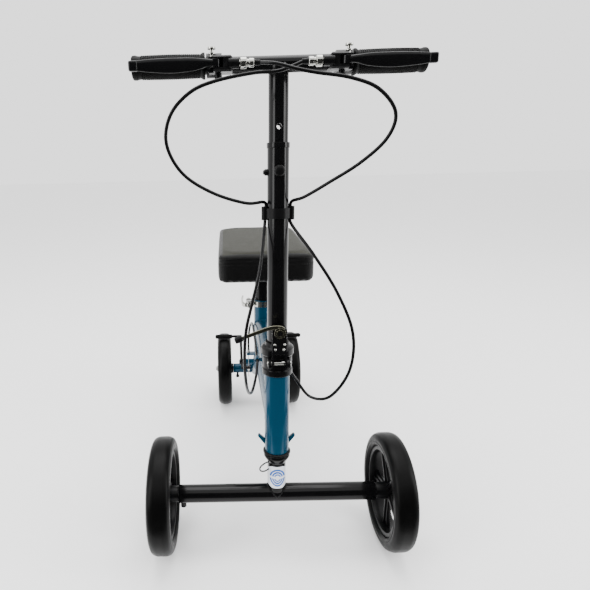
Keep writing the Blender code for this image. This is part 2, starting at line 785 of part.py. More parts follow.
for label, side in SIDES:

    def at(x, y, h, side=side):
        return (side * x, y, h)

    def block(low, high, bevel=0.0, side=side):
        """A block given by its distances from the middle plane."""
        (x0, y0, h0), (x1, y1, h1) = low, high
        ends = sorted((side * x0, side * x1))
        return box((ends[0], y0, h0), (ends[1], y1, h1), bevel)

    grip = [
        (BAR_RADIUS + GAP, GRIP_START),
        (0.0172, GRIP_START),
        (0.0172, GRIP_START + 0.003),
        (0.0152, GRIP_START + 0.006),
        (0.0160, GRIP_START + 0.045),
        (0.0150, GRIP_END - 0.012),
        (0.0158, GRIP_END - 0.003),
        (0.0146, GRIP_END),
        (0, GRIP_END),
        (0, BAR_HALF + GAP),
        (BAR_RADIUS + GAP, BAR_HALF + GAP),
    ]
    part(
        f"grip_{label}",
        lathe(grip, (0, 0, BAR_H), "X" if side > 0 else "-X", ROUND),
        RUBBER,
        (0, 0, BAR_H),
        column,
    )
    pivot_x, pivot_y = BRAKE_LEVER_PIVOT
    lock_x, lock_y = LOCK_PIN
    part(
        f"lever_bracket_{label}",
        rod(at(0.0790, 0, BAR_H), at(0.1005, 0, BAR_H), 0.0158, ROUND),
        CAST,
        (0, 0, BAR_H),
        column,
        add=[
            block((0.0650, -0.0370, 0.6735), (0.0985, -0.0080, 0.6935), 0.0022),
            rod(at(0.0560, ADJUSTER_Y, ADJUSTER_H), at(0.0700, ADJUSTER_Y, ADJUSTER_H), 0.0068, 24),
            rod(at(0.0845, -0.0165, 0.6660), at(0.0845, -0.0165, 0.6760), 0.0046, SMALL),
        ],
        cut=[
            along_x(0.2, 0, BAR_H, BAR_RADIUS + GAP, FINE),
            block((0.0775, -0.0400, 0.6785), (0.1000, -0.0215, 0.6895)),
            block((0.0900, -0.0400, 0.6700), (0.1020, -0.0265, 0.6980)),
            rod(at(lock_x, lock_y, 0.6850), at(lock_x, lock_y, 0.70), 0.0026, SMALL),
        ],
        last=[rod(at(pivot_x, pivot_y, 0.6745), at(pivot_x, pivot_y, 0.6946), 0.0030, SMALL)],
    )
    blade = [(0.0890, -0.0335), (0.1010, -0.0380), (0.1180, -0.0410), (0.1450, -0.0440)]
    blade += [(0.1720, -0.0470), (0.1930, -0.0505)]
    outline = [(side * x, y) for x, y in strip(blade, [0.007, 0.006, 0.0045, 0.004, 0.004, 0.004])]
    upper = [(0.070, 0.6895), (0.094, 0.6895), (0.112, 0.6900), (0.150, 0.6895), (0.205, 0.6865)]
    upper += [(0.205, 0.7100), (0.070, 0.7100)]
    lower = [(0.070, 0.6785), (0.097, 0.6785), (0.115, 0.6715), (0.150, 0.6705), (0.205, 0.6740)]
    lower += [(0.205, 0.6600), (0.070, 0.6600)]
    part(
        f"brake_lever_{label}",
        plate(outline, 0.6650, 0.6950),
        CAST,
        (side * pivot_x, pivot_y, ADJUSTER_H),
        column,
        add=[
            rod(at(pivot_x, pivot_y, 0.6788), at(pivot_x, pivot_y, 0.6892), 0.0078, 24),
            block((0.1890, -0.0535, 0.6735), (0.2010, -0.0465, 0.6865), 0.0020),
        ],
        cut=[
            plate([(side * x, h) for x, h in upper], -0.1, 0.1, "XZY"),
            plate([(side * x, h) for x, h in lower], -0.1, 0.1, "XZY"),
            rod(at(pivot_x, pivot_y, 0.66), at(pivot_x, pivot_y, 0.70), 0.0033, SMALL),
        ],
    )
    part(
        f"lock_pin_{label}",
        lathe(
            [
                (0, 0.6885),
                (0.0022, 0.6885),
                (0.0022, 0.6976),
                (0.0045, 0.6976),
                (0.0045, 0.6995),
                (0.0024, 0.7005),
                (0.0024, 0.7035),
                (0.0056, 0.7040),
                (0.0050, 0.7070),
                (0, 0.7070),
            ],
            at(lock_x, lock_y, 0),
            sides=SMALL,
        ),
        CHROME,
        at(lock_x, lock_y, 0.70),
        column,
    )
    part(
        f"cable_adjuster_{label}",
        lathe(
            [
                (0, 0.0362),
                (0.0058, 0.0362),
                (0.0058, 0.0460),
                (0.0074, 0.0466),
                (0.0074, 0.0540),
                (0.0040, 0.0545),
                (0.0040, 0.0557),
                (0, 0.0557),
            ],
            (0, ADJUSTER_Y, ADJUSTER_H),
            "X" if side > 0 else "-X",
            SMALL,
        ),
        CHROME,
        at(0.045, ADJUSTER_Y, ADJUSTER_H),
        column,
    )

# --- Seat -----------------------------------------------------------------------------------

seat_origin = (0, SEAT_TUBE_Y, SEAT_TUBE_TOP)
part(
    "seat_post",
    rod((0, SEAT_TUBE_Y, 0.2310), (0, SEAT_TUBE_Y, 0.4320), SEAT_POST_RADIUS, FINE),
    BLACK,
    seat_origin,
    add=[
        box((-0.0450, SEAT_TUBE_Y - 0.065, 0.4310), (0.0450, SEAT_TUBE_Y + 0.065, 0.4352), 0.001),
    ],
)
part(
    "seat_board",
    box(
        (PAD_X - PAD_WIDTH / 2 + 0.008, PAD_Y - PAD_LENGTH / 2 + 0.008, 0.4356),
        (PAD_X + PAD_WIDTH / 2 - 0.008, PAD_Y + PAD_LENGTH / 2 - 0.008, PAD_BOTTOM - GAP),
        0.002,
    ),
    BOARD,
    seat_origin,
)


def cushion(width, length, low, high, corner, edge):
    """A block with rounded corners in plan and a rounded top edge."""
    bm = bmesh.new()
    size = Matrix.Diagonal((width, length, high - low, 1))
    middle = Vector((PAD_X, PAD_Y, (low + high) / 2))
    bmesh.ops.create_cube(bm, size=1, matrix=Matrix.Translation(middle) @ size)
    upright = [e for e in bm.edges if abs(e.verts[0].co.z - e.verts[1].co.z) > 1e-4]
    bmesh.ops.bevel(bm, geom=upright, offset=corner, segments=6, affect="EDGES", profile=0.5)
    for level, offset in ((high, edge), (low, edge * 0.6)):
        rim = [e for e in bm.edges if all(abs(v.co.z - level) < 1e-5 for v in e.verts)]
        bmesh.ops.bevel(bm, geom=rim, offset=offset, segments=3, affect="EDGES", profile=0.5)
    return mesh_from(bm)


part(
    "knee_pad",
    cushion(PAD_WIDTH, PAD_LENGTH, PAD_BOTTOM, PAD_TOP, 0.022, 0.009),
    VINYL,
    seat_origin,
)
clamp_ring = rod((0, SEAT_TUBE_Y, 0.3410), (0, SEAT_TUBE_Y, 0.3530), 0.0232, FINE)
part(
    "seat_clamp",
    clamp_ring,
    CHROME,
    seat_origin,
    add=[box((-0.0370, SEAT_TUBE_Y - 0.0100, 0.3412), (-0.0200, SEAT_TUBE_Y + 0.0100, 0.3528), 0.001)],
    cut=[
        seat_core(FRAME_TUBE_RADIUS + GAP),
        box((-0.04, SEAT_TUBE_Y - 0.0015, 0.33), (-0.01, SEAT_TUBE_Y + 0.0015, 0.36)),
        rod((-0.0305, SEAT_TUBE_Y - 0.03, 0.347), (-0.0305, SEAT_TUBE_Y + 0.03, 0.347), 0.0030, SMALL),
    ],
)
part(
    "seat_skewer",
    rod((-0.0305, SEAT_TUBE_Y - 0.0165, 0.347), (-0.0305, SEAT_TUBE_Y + 0.0165, 0.347), 0.0026, SMALL),
    STEEL,
    seat_origin,
    add=[
        rod((-0.0305, SEAT_TUBE_Y + 0.0104, 0.347), (-0.0305, SEAT_TUBE_Y + 0.0160, 0.347), 0.0062, SMALL),
        rod((-0.0305, SEAT_TUBE_Y - 0.0104, 0.347), (-0.0305, SEAT_TUBE_Y - 0.0130, 0.347), 0.0062, SMALL),
        rod((-0.0305, SEAT_TUBE_Y - 0.0185, 0.3400), (-0.0305, SEAT_TUBE_Y - 0.0185, 0.3540), 0.0026, SMALL),
    ],
)
handle = [(-0.0305, -0.0185), (-0.0390, -0.0210), (-0.0440, -0.0130), (-0.0455, 0.0050)]
handle += [(-0.0450, 0.0250), (-0.0430, 0.0430)]
part(
    "seat_clamp_lever",
    plate(
        strip([(x, SEAT_TUBE_Y + y) for x, y in handle], [0.009, 0.006, 0.005, 0.004, 0.004, 0.004]),
        0.3425,
        0.3515,
    ),
    CHROME,
    (-0.0305, SEAT_TUBE_Y - 0.0185, 0.347),
    add=[
        rod((-0.0305, SEAT_TUBE_Y - 0.0185, 0.3415), (-0.0305, SEAT_TUBE_Y - 0.0185, 0.3525), 0.0050, 16)
    ],
    cut=[
        rod((-0.0305, SEAT_TUBE_Y - 0.0185, 0.33), (-0.0305, SEAT_TUBE_Y - 0.0185, 0.36), 0.0029, 16),
        rod((-0.0305, SEAT_TUBE_Y - 0.0185, 0.3438), (-0.0305, SEAT_TUBE_Y - 0.0185, 0.3502), 0.0058, 16),
    ],
)

# --- Rear brakes ----------------------------------------------------------------------------

pivot_y, pivot_z = BRAKE_PIVOT
bar_y, bar_z = REAR_AXLE_Y - 0.0225, REAR_WHEEL_RADIUS + 0.1027
for label, side in SIDES:
    part(
        f"brake_arm_{label}",
        rod((side * 0.0350, pivot_y, pivot_z), (side * 0.0500, pivot_y, pivot_z), 0.0078, 24),
        CAST,
        (side * 0.0455, pivot_y, pivot_z),
        add=[
            rod((side * 0.0455, pivot_y, pivot_z + 0.003), (side * 0.0455, bar_y, bar_z), 0.0034, 16),
            dome((side * 0.0455, bar_y, bar_z), 0.0036, sides=16),
            rod((side * 0.0455, bar_y, bar_z), (side * 0.1135, bar_y, bar_z), 0.0036, 16),
            box(
                (min(side * 0.0245, side * 0.0475), stop_y - 0.0045, pivot_z - 0.0030),
                (max(side * 0.0245, side * 0.0475), stop_y + 0.0045, pivot_z + 0.0030),
            ),
            box(
                (min(side * 0.0425, side * 0.0475), stop_y - 0.0040, pivot_z - 0.0030),
                (max(side * 0.0425, side * 0.0475), pivot_y, pivot_z + 0.0030),
            ),
        ],
        cut=[
            rod((side * 0.02, pivot_y, pivot_z), (side * 0.06, pivot_y, pivot_z), 0.0048, SMALL),
            rod((side * stop_x, stop_y, pivot_z - 0.02), (side * stop_x, stop_y, pivot_z + 0.02), 0.0013, 12),
        ],
    )
    part(
        f"brake_pad_{label}",
        rod((side * 0.0690, bar_y, bar_z), (side * 0.1120, bar_y, bar_z), 0.0060, 20),
        RUBBER,
        (side * 0.0455, pivot_y, pivot_z),
        cut=[rod((side * 0.05, bar_y, bar_z), (side * 0.12, bar_y, bar_z), 0.0039, 16)],
    )

# --- Brake cables ---------------------------------------------------------------------------


def shifted(points):
    """Route points given from the front axle, moved to the world."""
    return [Vector((x, y + FRONT_AXLE_Y, z)) for x, y, z in points]


CLIP_TOP = [in_world(s * CLIP_CABLE_X, 0, CLIP_H + 0.0005) for s in (-1, 1)]
CLIP_BOTTOM = [in_world(s * CLIP_CABLE_X, 0, CLIP_H - 0.0005) for s in (-1, 1)]
RIGHT_START = [in_world(x, ADJUSTER_Y, ADJUSTER_H) for x in (0.0358, 0.0300)]
LEFT_START = [in_world(x, ADJUSTER_Y, ADJUSTER_H) for x in (-0.0358, -0.0300)]

cable(
    "cable_upper_right",
    [
        *RIGHT_START,
        *shifted(
            [
                (0.0120, -0.0060, 0.7765),
                (-0.0080, -0.0090, 0.7710),
                (-0.0370, -0.0180, 0.7690),
                (-0.0870, -0.0320, 0.7590),
                (-0.1210, -0.0400, 0.7450),
                (-0.1470, -0.0450, 0.7180),
                (-0.1540, -0.0450, 0.6820),
                (-0.1350, -0.0350, 0.6440),
                (-0.0950, -0.0150, 0.6160),
                (-0.0480, 0.0070, 0.5990),
            ]
        ),
        in_world(-CLIP_CABLE_X, 0, CLIP_H + 0.0160),
        CLIP_TOP[0],
    ],
    0.015,
)
cable(
    "cable_upper_left",
    [
        *LEFT_START,
        *shifted(
            [
                (-0.0080, -0.0140, 0.7800),
                (0.0180, -0.0220, 0.7720),
                (0.0440, -0.0270, 0.7660),
                (0.0850, -0.0360, 0.7580),
                (0.1200, -0.0440, 0.7430),
                (0.1420, -0.0490, 0.7140),
                (0.1350, -0.0440, 0.6830),
                (0.1060, -0.0300, 0.6530),
                (0.0700, -0.0130, 0.6280),
                (0.0370, 0.0070, 0.6060),
            ]
        ),
        in_world(CLIP_CABLE_X, 0, CLIP_H + 0.0160),
        CLIP_TOP[1],
    ],
    0.015,
)
cable(
    "cable_loop_right",
    [
        CLIP_BOTTOM[1],
        in_world(CLIP_CABLE_X, 0, CLIP_H - 0.0160),
        *shifted(
            [
                (0.0500, -0.0050, 0.5240),
                (0.0840, -0.0250, 0.4690),
                (0.1080, -0.0350, 0.4080),
                (0.1090, -0.0250, 0.3420),
                (0.0850, -0.0050, 0.2870),
                (0.0560, 0.0150, 0.2770),
                (0.0360, 0.0420, 0.2960),
                (0.0265, 0.0850, 0.3000),
                (CABLE_RUN_X, 0.1190, CABLE_RUN_Z),
                (CABLE_RUN_X, 0.1250, CABLE_RUN_Z),
                (CABLE_RUN_X, 0.1290, CABLE_RUN_Z),
            ]
        ),
    ],
    0.015,
)
cable(
    "cable_loop_left",
    [
        CLIP_BOTTOM[0],
        in_world(-CLIP_CABLE_X, 0, CLIP_H - 0.0160),
        *shifted(
            [
                (-0.0290, -0.0150, 0.5070),
                (-0.0430, -0.0350, 0.4560),
                (-0.0520, -0.0450, 0.4200),
                (-0.0545, -0.0350, 0.3760),
                (-0.0520, -0.0100, 0.3200),
                (-0.0460, 0.0300, 0.2790),
                (-0.0380, 0.0650, 0.2640),
                (-0.0295, 0.0930, 0.2800),
                (-CABLE_RUN_X, 0.1190, CABLE_RUN_Z),
                (-CABLE_RUN_X, 0.1250, CABLE_RUN_Z),
                (-CABLE_RUN_X, 0.1290, CABLE_RUN_Z),
            ]
        ),
    ],
    0.015,
)
for label, side in SIDES:
    cable(
        f"cable_rear_{label}",
        shifted(
            [
                (side * CABLE_RUN_X, 0.1302, CABLE_RUN_Z),
                (side * CABLE_RUN_X, 0.1350, CABLE_RUN_Z),
                (side * CABLE_RUN_X, 0.1410, CABLE_RUN_Z),
                (side * 0.0245, 0.1800, 0.3010),
                (side * 0.0240, 0.2600, 0.3040),
                (side * 0.0245, 0.3300, 0.2990),
                (side * 0.0265, 0.3800, 0.2720),
                (side * stop_x, 0.4150, 0.2310),
                (side * stop_x, 0.4240, 0.1960),
                (side * stop_x, 0.4240, 0.1872),
                (side * stop_x, 0.4240, 0.1866),
                (side * stop_x, 0.4240, 0.1200),
            ]
        ),
        0.016,
        thin_from=0.1870,
    )
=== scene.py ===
"""Looks of a steerable knee scooter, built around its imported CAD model.

Metres, +Z up, the front faces -Y and +X is on the right as seen from the front. The steering
column leans back, so its pieces are drawn in the column's own frame: x across, y towards the
seat and h up along the steering axis, from the middle of the front axle.
"""

import logging
import math
from collections.abc import Callable, Sequence
from dataclasses import dataclass
from enum import Enum
from functools import cache

import bmesh
import bpy
from mathutils import Matrix, Vector
from mathutils.bvhtree import BVHTree


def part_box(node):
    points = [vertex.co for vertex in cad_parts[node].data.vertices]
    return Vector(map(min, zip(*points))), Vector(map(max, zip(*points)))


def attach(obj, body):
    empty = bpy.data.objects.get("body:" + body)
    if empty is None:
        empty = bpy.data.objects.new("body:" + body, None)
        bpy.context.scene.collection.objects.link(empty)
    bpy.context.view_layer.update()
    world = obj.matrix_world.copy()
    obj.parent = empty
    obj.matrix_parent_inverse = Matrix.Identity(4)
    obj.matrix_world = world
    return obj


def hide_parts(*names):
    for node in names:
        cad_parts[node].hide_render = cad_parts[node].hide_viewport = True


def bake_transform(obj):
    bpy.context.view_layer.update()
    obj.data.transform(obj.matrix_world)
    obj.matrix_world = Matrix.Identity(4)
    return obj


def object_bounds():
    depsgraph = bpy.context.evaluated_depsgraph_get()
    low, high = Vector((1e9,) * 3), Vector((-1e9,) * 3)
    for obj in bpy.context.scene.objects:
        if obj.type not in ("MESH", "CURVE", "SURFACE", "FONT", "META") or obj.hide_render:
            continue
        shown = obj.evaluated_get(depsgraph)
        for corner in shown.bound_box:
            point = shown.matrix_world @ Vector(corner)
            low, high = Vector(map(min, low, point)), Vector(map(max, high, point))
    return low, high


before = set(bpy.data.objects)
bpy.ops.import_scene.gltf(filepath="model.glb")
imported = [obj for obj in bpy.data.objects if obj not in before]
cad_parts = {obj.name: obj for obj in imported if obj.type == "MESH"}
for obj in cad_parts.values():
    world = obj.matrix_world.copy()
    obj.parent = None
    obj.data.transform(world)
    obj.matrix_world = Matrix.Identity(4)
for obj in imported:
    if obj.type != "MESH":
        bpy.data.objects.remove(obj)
CAD_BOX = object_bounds()

Point = Sequence[float]
LOG = logging.getLogger("knee_scooter")

LEAN = math.radians(2.5)
FRONT_AXLE = Vector((0, -0.26325, 0.099))
REAR_AXLE = Vector((0, 0.26475, 0.0975))
COLUMN = Matrix.Translation(FRONT_AXLE) @ Matrix.Rotation(-LEAN, 4, "X")
WORLD = Matrix()
GAP = 0.0003
HEAD_RADIUS, FRAME_RADIUS = 0.0203, 0.01905
SEAT_TUBE_Y = FRONT_AXLE.y + 0.335
BRAKE_PIVOT = Vector((0, REAR_AXLE.y - 0.068, 0.1465))
CABLE_STOP = Vector((0.0285, REAR_AXLE.y - 0.104, 0.187))
CABLE_RUN = Vector((0.0253, FRONT_AXLE.y + 0.13, 0.2975))
CLIP_H, CLIP_X, CABLE_RADIUS = 0.4835, 0.0198, 0.0025
BAR_H, BAR_RADIUS, BAR_HALF = 0.6872, 0.0111, 0.2032
PAD_X, PAD_Y = -0.005, FRONT_AXLE.y + 0.3347
SMOOTH_ANGLE = math.radians(38)


class Side(Enum):
    """The two sides of the scooter, with the sign of their x."""

    LEFT = -1
    RIGHT = 1

    @property
    def label(self) -> str:
        """The side's word in the names of CAD nodes."""
        return self.name.lower()


def column_point(x: float, y: float, h: float) -> Vector:
    """A point of the column's frame, in the world."""
    return COLUMN @ Vector((x, y, h))


# --- Node trees -----------------------------------------------------------------------------


class Flow:
    """A socket's output, on which Python's arithmetic adds Math nodes."""

    def __init__(self, graph: "Graph", socket: bpy.types.NodeSocket) -> None:
        """Wraps one output socket of a graph."""
        self.graph = graph
        self.socket = socket

    def _math(self, operation: str, first: "Flow | float", second: "Flow | float") -> "Flow":
        """One Math node on two values."""
        return self.graph.node("ShaderNodeMath", {"operation": operation}, {0: first, 1: second})

    def __add__(self, other: "Flow | float") -> "Flow":
        """self + other."""
        return self._math("ADD", self, other)

    __radd__ = __add__

    def __mul__(self, other: "Flow | float") -> "Flow":
        """self * other."""
        return self._math("MULTIPLY", self, other)

    __rmul__ = __mul__

    def __sub__(self, other: "Flow | float") -> "Flow":
        """self - other."""
        return self._math("SUBTRACT", self, other)

    def __rsub__(self, other: float) -> "Flow":
        """other - self."""
        return self._math("SUBTRACT", other, self)

    def __gt__(self, other: "Flow | float") -> "Flow":
        """1 where self is above other, else 0."""
        return self._math("GREATER_THAN", self, other)

    def sine(self) -> "Flow":
        """The sine of self in radians."""
        return self._math("SINE", self, 0.0)

    def power(self, exponent: float) -> "Flow":
        """self to a power."""
        return self._math("POWER", self, exponent)

    def larger(self, other: "Flow | float") -> "Flow":
        """The larger of self and other."""
        return self._math("MAXIMUM", self, other)


class Graph:
    """A shader or geometry tree being built."""

    def __init__(self, tree: bpy.types.NodeTree) -> None:
        """Takes an empty or default tree to add nodes to."""
        self.tree = tree

    def node(
        self,
        kind: str,
        settings: dict[str, object] | None = None,
        inputs: dict[str | int, object] | None = None,
        output: str | int = 0,
    ) -> Flow:
        """Adds a node.

        Args:
            kind: The node's type name.
            settings: Its own settings; "stops" holds a colour ramp's (position, value) pairs.
            inputs: Values or flows by the input's name or number.
            output: The output that the flow reads, by name or number.

        Returns:
            The flow out of that output.
        """
        made = self.tree.nodes.new(kind)
        for key, value in (settings or {}).items():
            if key == "stops":
                ramp = made.color_ramp.elements
                for (place, level), stop in zip(value, [ramp[0], ramp[1]]):
                    stop.position, stop.color = place, (level, level, level, 1)
            else:
                setattr(made, key, value)
        for key, value in (inputs or {}).items():
            if isinstance(value, Flow):
                self.tree.links.new(value.socket, made.inputs[key])
            else:
                made.inputs[key].default_value = value
        return Flow(self, made.outputs[output] if made.outputs else None)


# --- Finishes -------------------------------------------------------------------------------


@dataclass(frozen=True)
class Finish:
    """A surface finish: colour, gloss and a grain that stands in relief.

    grain is the size of the relief's pattern and depth its height, in metres. mottle is how far
    the tone drifts either way, and haze how far the roughness does.
    """

    name: str
    slot: str
    colour: tuple[float, float, float]
    roughness: float
    metallic: float = 0.0
    coat: float = 0.0
    grain: float = 0.0015
    depth: float = 0.00002
    mottle: float = 0.12
    haze: float = 0.08
    gloss: float = 0.30

    def noise(self, graph: Graph, place: Flow, size: float, detail: float = 3.0) -> Flow:
        """A soft random pattern with features about size metres across, from 0 to 1."""
        return graph.node(
            "ShaderNodeTexNoise", inputs={"Vector": place, "Scale": 1 / size, "Detail": detail}
        )

    def relief(self, graph: Graph, place: Flow) -> Flow:
        """The height of the grain, from 0 to 1."""
        return self.noise(graph, place, self.grain)

    def tone(self, graph: Graph, place: Flow) -> Flow:
        """Where the finish is light, 1, or dark, 0."""
        return self.noise(graph, place, 0.035)

    def wear(self, graph: Graph, place: Flow) -> Flow:
        """How far the roughness drifts, from 0 to 1."""
        return self.noise(graph, place, 0.012, 5.0)

    def paint(self, graph: Graph, place: Flow) -> Flow:
        """The base colour over the surface."""
        dark = (*(max(0.0, c * (1 - self.mottle)) for c in self.colour), 1)
        light = (*(min(1.0, c * (1 + self.mottle)) for c in self.colour), 1)
        return graph.node(
            "ShaderNodeMix",
            {"data_type": "RGBA"},
            {0: self.tone(graph, place), 6: dark, 7: light},
            output=2,
        )

    def constants(self) -> dict[str, float]:
        """The shader's values that are the same all over the surface."""
        fixed = {"Metallic": self.metallic, "Coat Weight": self.coat, "Coat Roughness": 0.06}
        return {**fixed, "Specular IOR Level": self.gloss}

    @cache
    def material(self) -> bpy.types.Material:
        """Builds the finish's material once.

        Returns:
            The material, with its colour, roughness and normal driven by nodes.
        """
        made = bpy.data.materials.new(self.name)
        made.use_nodes = True
        graph = Graph(made.node_tree)
        shader = made.node_tree.nodes["Principled BSDF"]
        place = graph.node("ShaderNodeTexCoord", output="Object")
        for label, value in self.constants().items():
            shader.inputs[label].default_value = value
        bump = graph.node(
            "ShaderNodeBump",
            inputs={"Distance": self.depth, "Strength": 1.0, "Height": self.relief(graph, place)},
        )
        rough = self.roughness + (self.wear(graph, place) - 0.5) * (2 * self.haze)
        for flow, label in (
            (self.paint(graph, place), "Base Color"),
            (rough, "Roughness"),
            (bump, "Normal"),
        ):
            graph.tree.links.new(flow.socket, shader.inputs[label])
        return made


@dataclass(frozen=True)
class FlakeEnamel(Finish):
    """Metallic enamel: bright flakes under a clear coat with a faint orange peel."""

    flake: float = 0.0006

    def tone(self, graph: Graph, place: Flow) -> Flow:
        """Flakes that each catch the light differently, over a slow drift."""
        cells = graph.node(
            "ShaderNodeTexVoronoi", inputs={"Vector": place, "Scale": 1 / self.flake}, output="Color"
        )
        flake = graph.node("ShaderNodeSeparateColor", inputs={0: cells})
        return flake * 0.5 + self.noise(graph, place, 0.05) * 0.5


@dataclass(frozen=True)
class Casting(Finish):
    """A cast or powder-coated surface: fine pimples over slow waves."""

    def relief(self, graph: Graph, place: Flow) -> Flow:
        """Pimples on waves four times their size."""
        return self.noise(graph, place, self.grain) * 0.6 + self.noise(graph, place, self.grain * 4) * 0.4


@dataclass(frozen=True)
class Plated(Finish):
    """Bright plating with smudges and hair-fine polishing marks."""

    def relief(self, graph: Graph, place: Flow) -> Flow:
        """Polishing marks stretched along z."""
        stretched = graph.node("ShaderNodeMapping", inputs={"Vector": place, "Scale": (1, 1, 0.08)})
        return self.noise(graph, stretched, self.grain, 1.0)


@dataclass(frozen=True)
class Leathercloth(Finish):
    """Embossed vinyl: small rounded pebbles with creases between them."""

    def relief(self, graph: Graph, place: Flow) -> Flow:
        """Pebbles that fall away to their creases."""
        bent = graph.node(
            "ShaderNodeTexNoise",
            inputs={"Vector": place, "Scale": 0.4 / self.grain, "Detail": 2.0},
            output="Color",
        )
        warped = graph.node(
            "ShaderNodeMix",
            {"data_type": "RGBA", "blend_type": "LINEAR_LIGHT"},
            {0: 0.002, 6: place, 7: bent},
            output=2,
        )
        edge = graph.node(
            "ShaderNodeTexVoronoi",
            {"feature": "DISTANCE_TO_EDGE"},
            {"Vector": warped, "Scale": 1 / self.grain},
        )
        return graph.node("ShaderNodeValToRGB", {"stops": ((0.0, 0.0), (0.22, 1.0))}, {0: edge})

    def constants(self) -> dict[str, float]:
        """Vinyl has a soft sheen at grazing angles."""
        return {**super().constants(), "Sheen Weight": 0.04, "Sheen Roughness": 0.4}


@dataclass(frozen=True)
class TreadRubber(Finish):
    """Solid tyre rubber: fine dust that gathers in patches."""

    def tone(self, graph: Graph, place: Flow) -> Flow:
        """Fine dust that gathers in patches."""
        patches = self.noise(graph, place, 0.025).power(2.0)
        return patches * self.noise(graph, place, 0.0015) * 2.0


@dataclass(frozen=True)
class BrushedBoard(Finish):
    """A stained board whose grain runs along y."""

    def relief(self, graph: Graph, place: Flow) -> Flow:
        """Grain lines stretched along y."""
        stretched = graph.node("ShaderNodeMapping", inputs={"Vector": place, "Scale": (1, 0.05, 1)})
        return self.noise(graph, stretched, self.grain, 6.0)


@dataclass(frozen=True)
class PlainBadge(Finish):
    """A pale badge with two plain blue arcs round a pale middle."""

    ink: tuple[float, float, float] = (0.010, 0.085, 0.33)
    centre: tuple[float, float, float] = (0, -0.2776, 0.1385)
    ring: float = 0.0140

    def paint(self, graph: Graph, place: Flow) -> Flow:
        """The pale ground with the arcs' ink on it."""
        moved = graph.node(
            "ShaderNodeMapping",
            inputs={
                "Vector": place,
                "Location": tuple(-c for c in self.centre),
            },
        )
        flat = graph.node(
            "ShaderNodeVectorMath", {"operation": "MULTIPLY"}, {0: moved, 1: (1, 0, 0.78)}
        )
        away = graph.node("ShaderNodeVectorMath", {"operation": "LENGTH"}, {0: flat}, output="Value")
        height = graph.node("ShaderNodeSeparateXYZ", inputs={0: moved}, output="Z")
        band = (away > self.ring * 0.28) * (self.ring - away > 0.0)
        lines = (away * (2 * math.pi / 0.0036)).sine() > -0.62
        split = (height.power(2.0) > 0.0000035) * 1.0
        inked = band * lines * split
        ground = super().paint(graph, place)
        return graph.node(
            "ShaderNodeMix", {"data_type": "RGBA"}, {0: inked, 6: ground, 7: (*self.ink, 1)}, output=2
        )


TEAL = FlakeEnamel(
    "teal_enamel", "teal_paint",
    colour=(0.001, 0.036, 0.070), roughness=0.25, metallic=0.3, coat=0.15, grain=0.0022,
    depth=0.000005, mottle=0.16, haze=0.05, gloss=0.2,
)
BLACK = Finish(
    "black_enamel", "black_paint",
    colour=(0.0020, 0.0020, 0.0022), roughness=0.16, coat=0.06, grain=0.0020, depth=0.000008,
    mottle=0.15, haze=0.06, gloss=0.16,
)
CAST = Casting(
    "black_casting", "black_casting",
    colour=(0.0020, 0.0020, 0.0022), roughness=0.28, coat=0.04, grain=0.0007, depth=0.00003,
    mottle=0.2, haze=0.1, gloss=0.13,
)
CHROME = Plated(
    "bright_chrome", "chrome",
    colour=(0.47, 0.47, 0.44), roughness=0.13, metallic=1.0, grain=0.0012, depth=0.000006,
    mottle=0.06, haze=0.06,
)
SMOKED = Plated(
    "smoked_chrome", "chrome",
    colour=(0.200, 0.195, 0.145), roughness=0.18, metallic=1.0, grain=0.0012, depth=0.00001,
    mottle=0.1, haze=0.06,
)
ZINC = Plated(
    "zinc_steel", "steel",
    colour=(0.32, 0.32, 0.31), roughness=0.32, metallic=1.0, grain=0.0009, depth=0.00002,
    mottle=0.15, haze=0.10,
)
TYRE = TreadRubber(
    "tyre_rubber", "tyre_rubber",
    colour=(0.0016, 0.0016, 0.0016), roughness=0.36, grain=0.0012, depth=0.00003, mottle=0.45,
    haze=0.1, gloss=0.08,
)
RIM = Casting(
    "rim_moulding", "rim_plastic",
    colour=(0.0022, 0.0022, 0.0024), roughness=0.32, grain=0.0009, depth=0.00003, mottle=0.2,
    gloss=0.12,
)
GRIP = Finish(
    "grip_rubber", "grip_rubber",
    colour=(0.0017, 0.0017, 0.0017), roughness=0.48, grain=0.0006, depth=0.00003, mottle=0.3,
    gloss=0.08,
)
# The top and side vinyls are lit and shaded copies of one black vinyl: the top is painted paler and olive as
# painted light, the sides darker as painted shade.
PAD_TOP_PAINTED_LIT = Leathercloth(
    "pad_top_vinyl_painted_light", "pad_cover",
    colour=(0.0150, 0.0150, 0.0095), roughness=0.55, grain=0.0016, depth=0.00012, mottle=0.10,
    haze=0.07, gloss=0.07,
)
PAD_SIDE_PAINTED_SHADE = Leathercloth(
    "pad_side_vinyl_painted_shade", "pad_cover",
    colour=(0.0018, 0.0018, 0.0018), roughness=0.42, grain=0.0016, depth=0.00014, mottle=0.15,
    haze=0.07, gloss=0.10,
)
THREAD = Finish(
    "seam_thread", "pad_cover",
    colour=(0.0085, 0.0085, 0.0080), roughness=0.70, grain=0.0003, depth=0.00002, mottle=0.2,
    haze=0.1,
)
BOARD = BrushedBoard(
    "stained_board", "board_black",
    colour=(0.006, 0.0055, 0.005), roughness=0.55, grain=0.0012, depth=0.00006, mottle=0.35,
    haze=0.1,
)
JACKET = Finish(
    "cable_jacket", "cable_jacket",
    colour=(0.0016, 0.0016, 0.0018), roughness=0.26, coat=0.05, grain=0.0010, depth=0.00001,
    mottle=0.2, haze=0.1, gloss=0.14,
)
PLASTIC = Casting(
    "black_moulding", "black_plastic",
    colour=(0.0024, 0.0024, 0.0026), roughness=0.36, grain=0.0008, depth=0.00003, mottle=0.2,
    gloss=0.12,
)
BADGE = PlainBadge(
    "plain_badge", "badge_white",
    colour=(0.62, 0.65, 0.70), roughness=0.26, coat=0.6, grain=0.004, depth=0.00001,
    mottle=0.05, haze=0.05,
)


# --- Shapes ---------------------------------------------------------------------------------


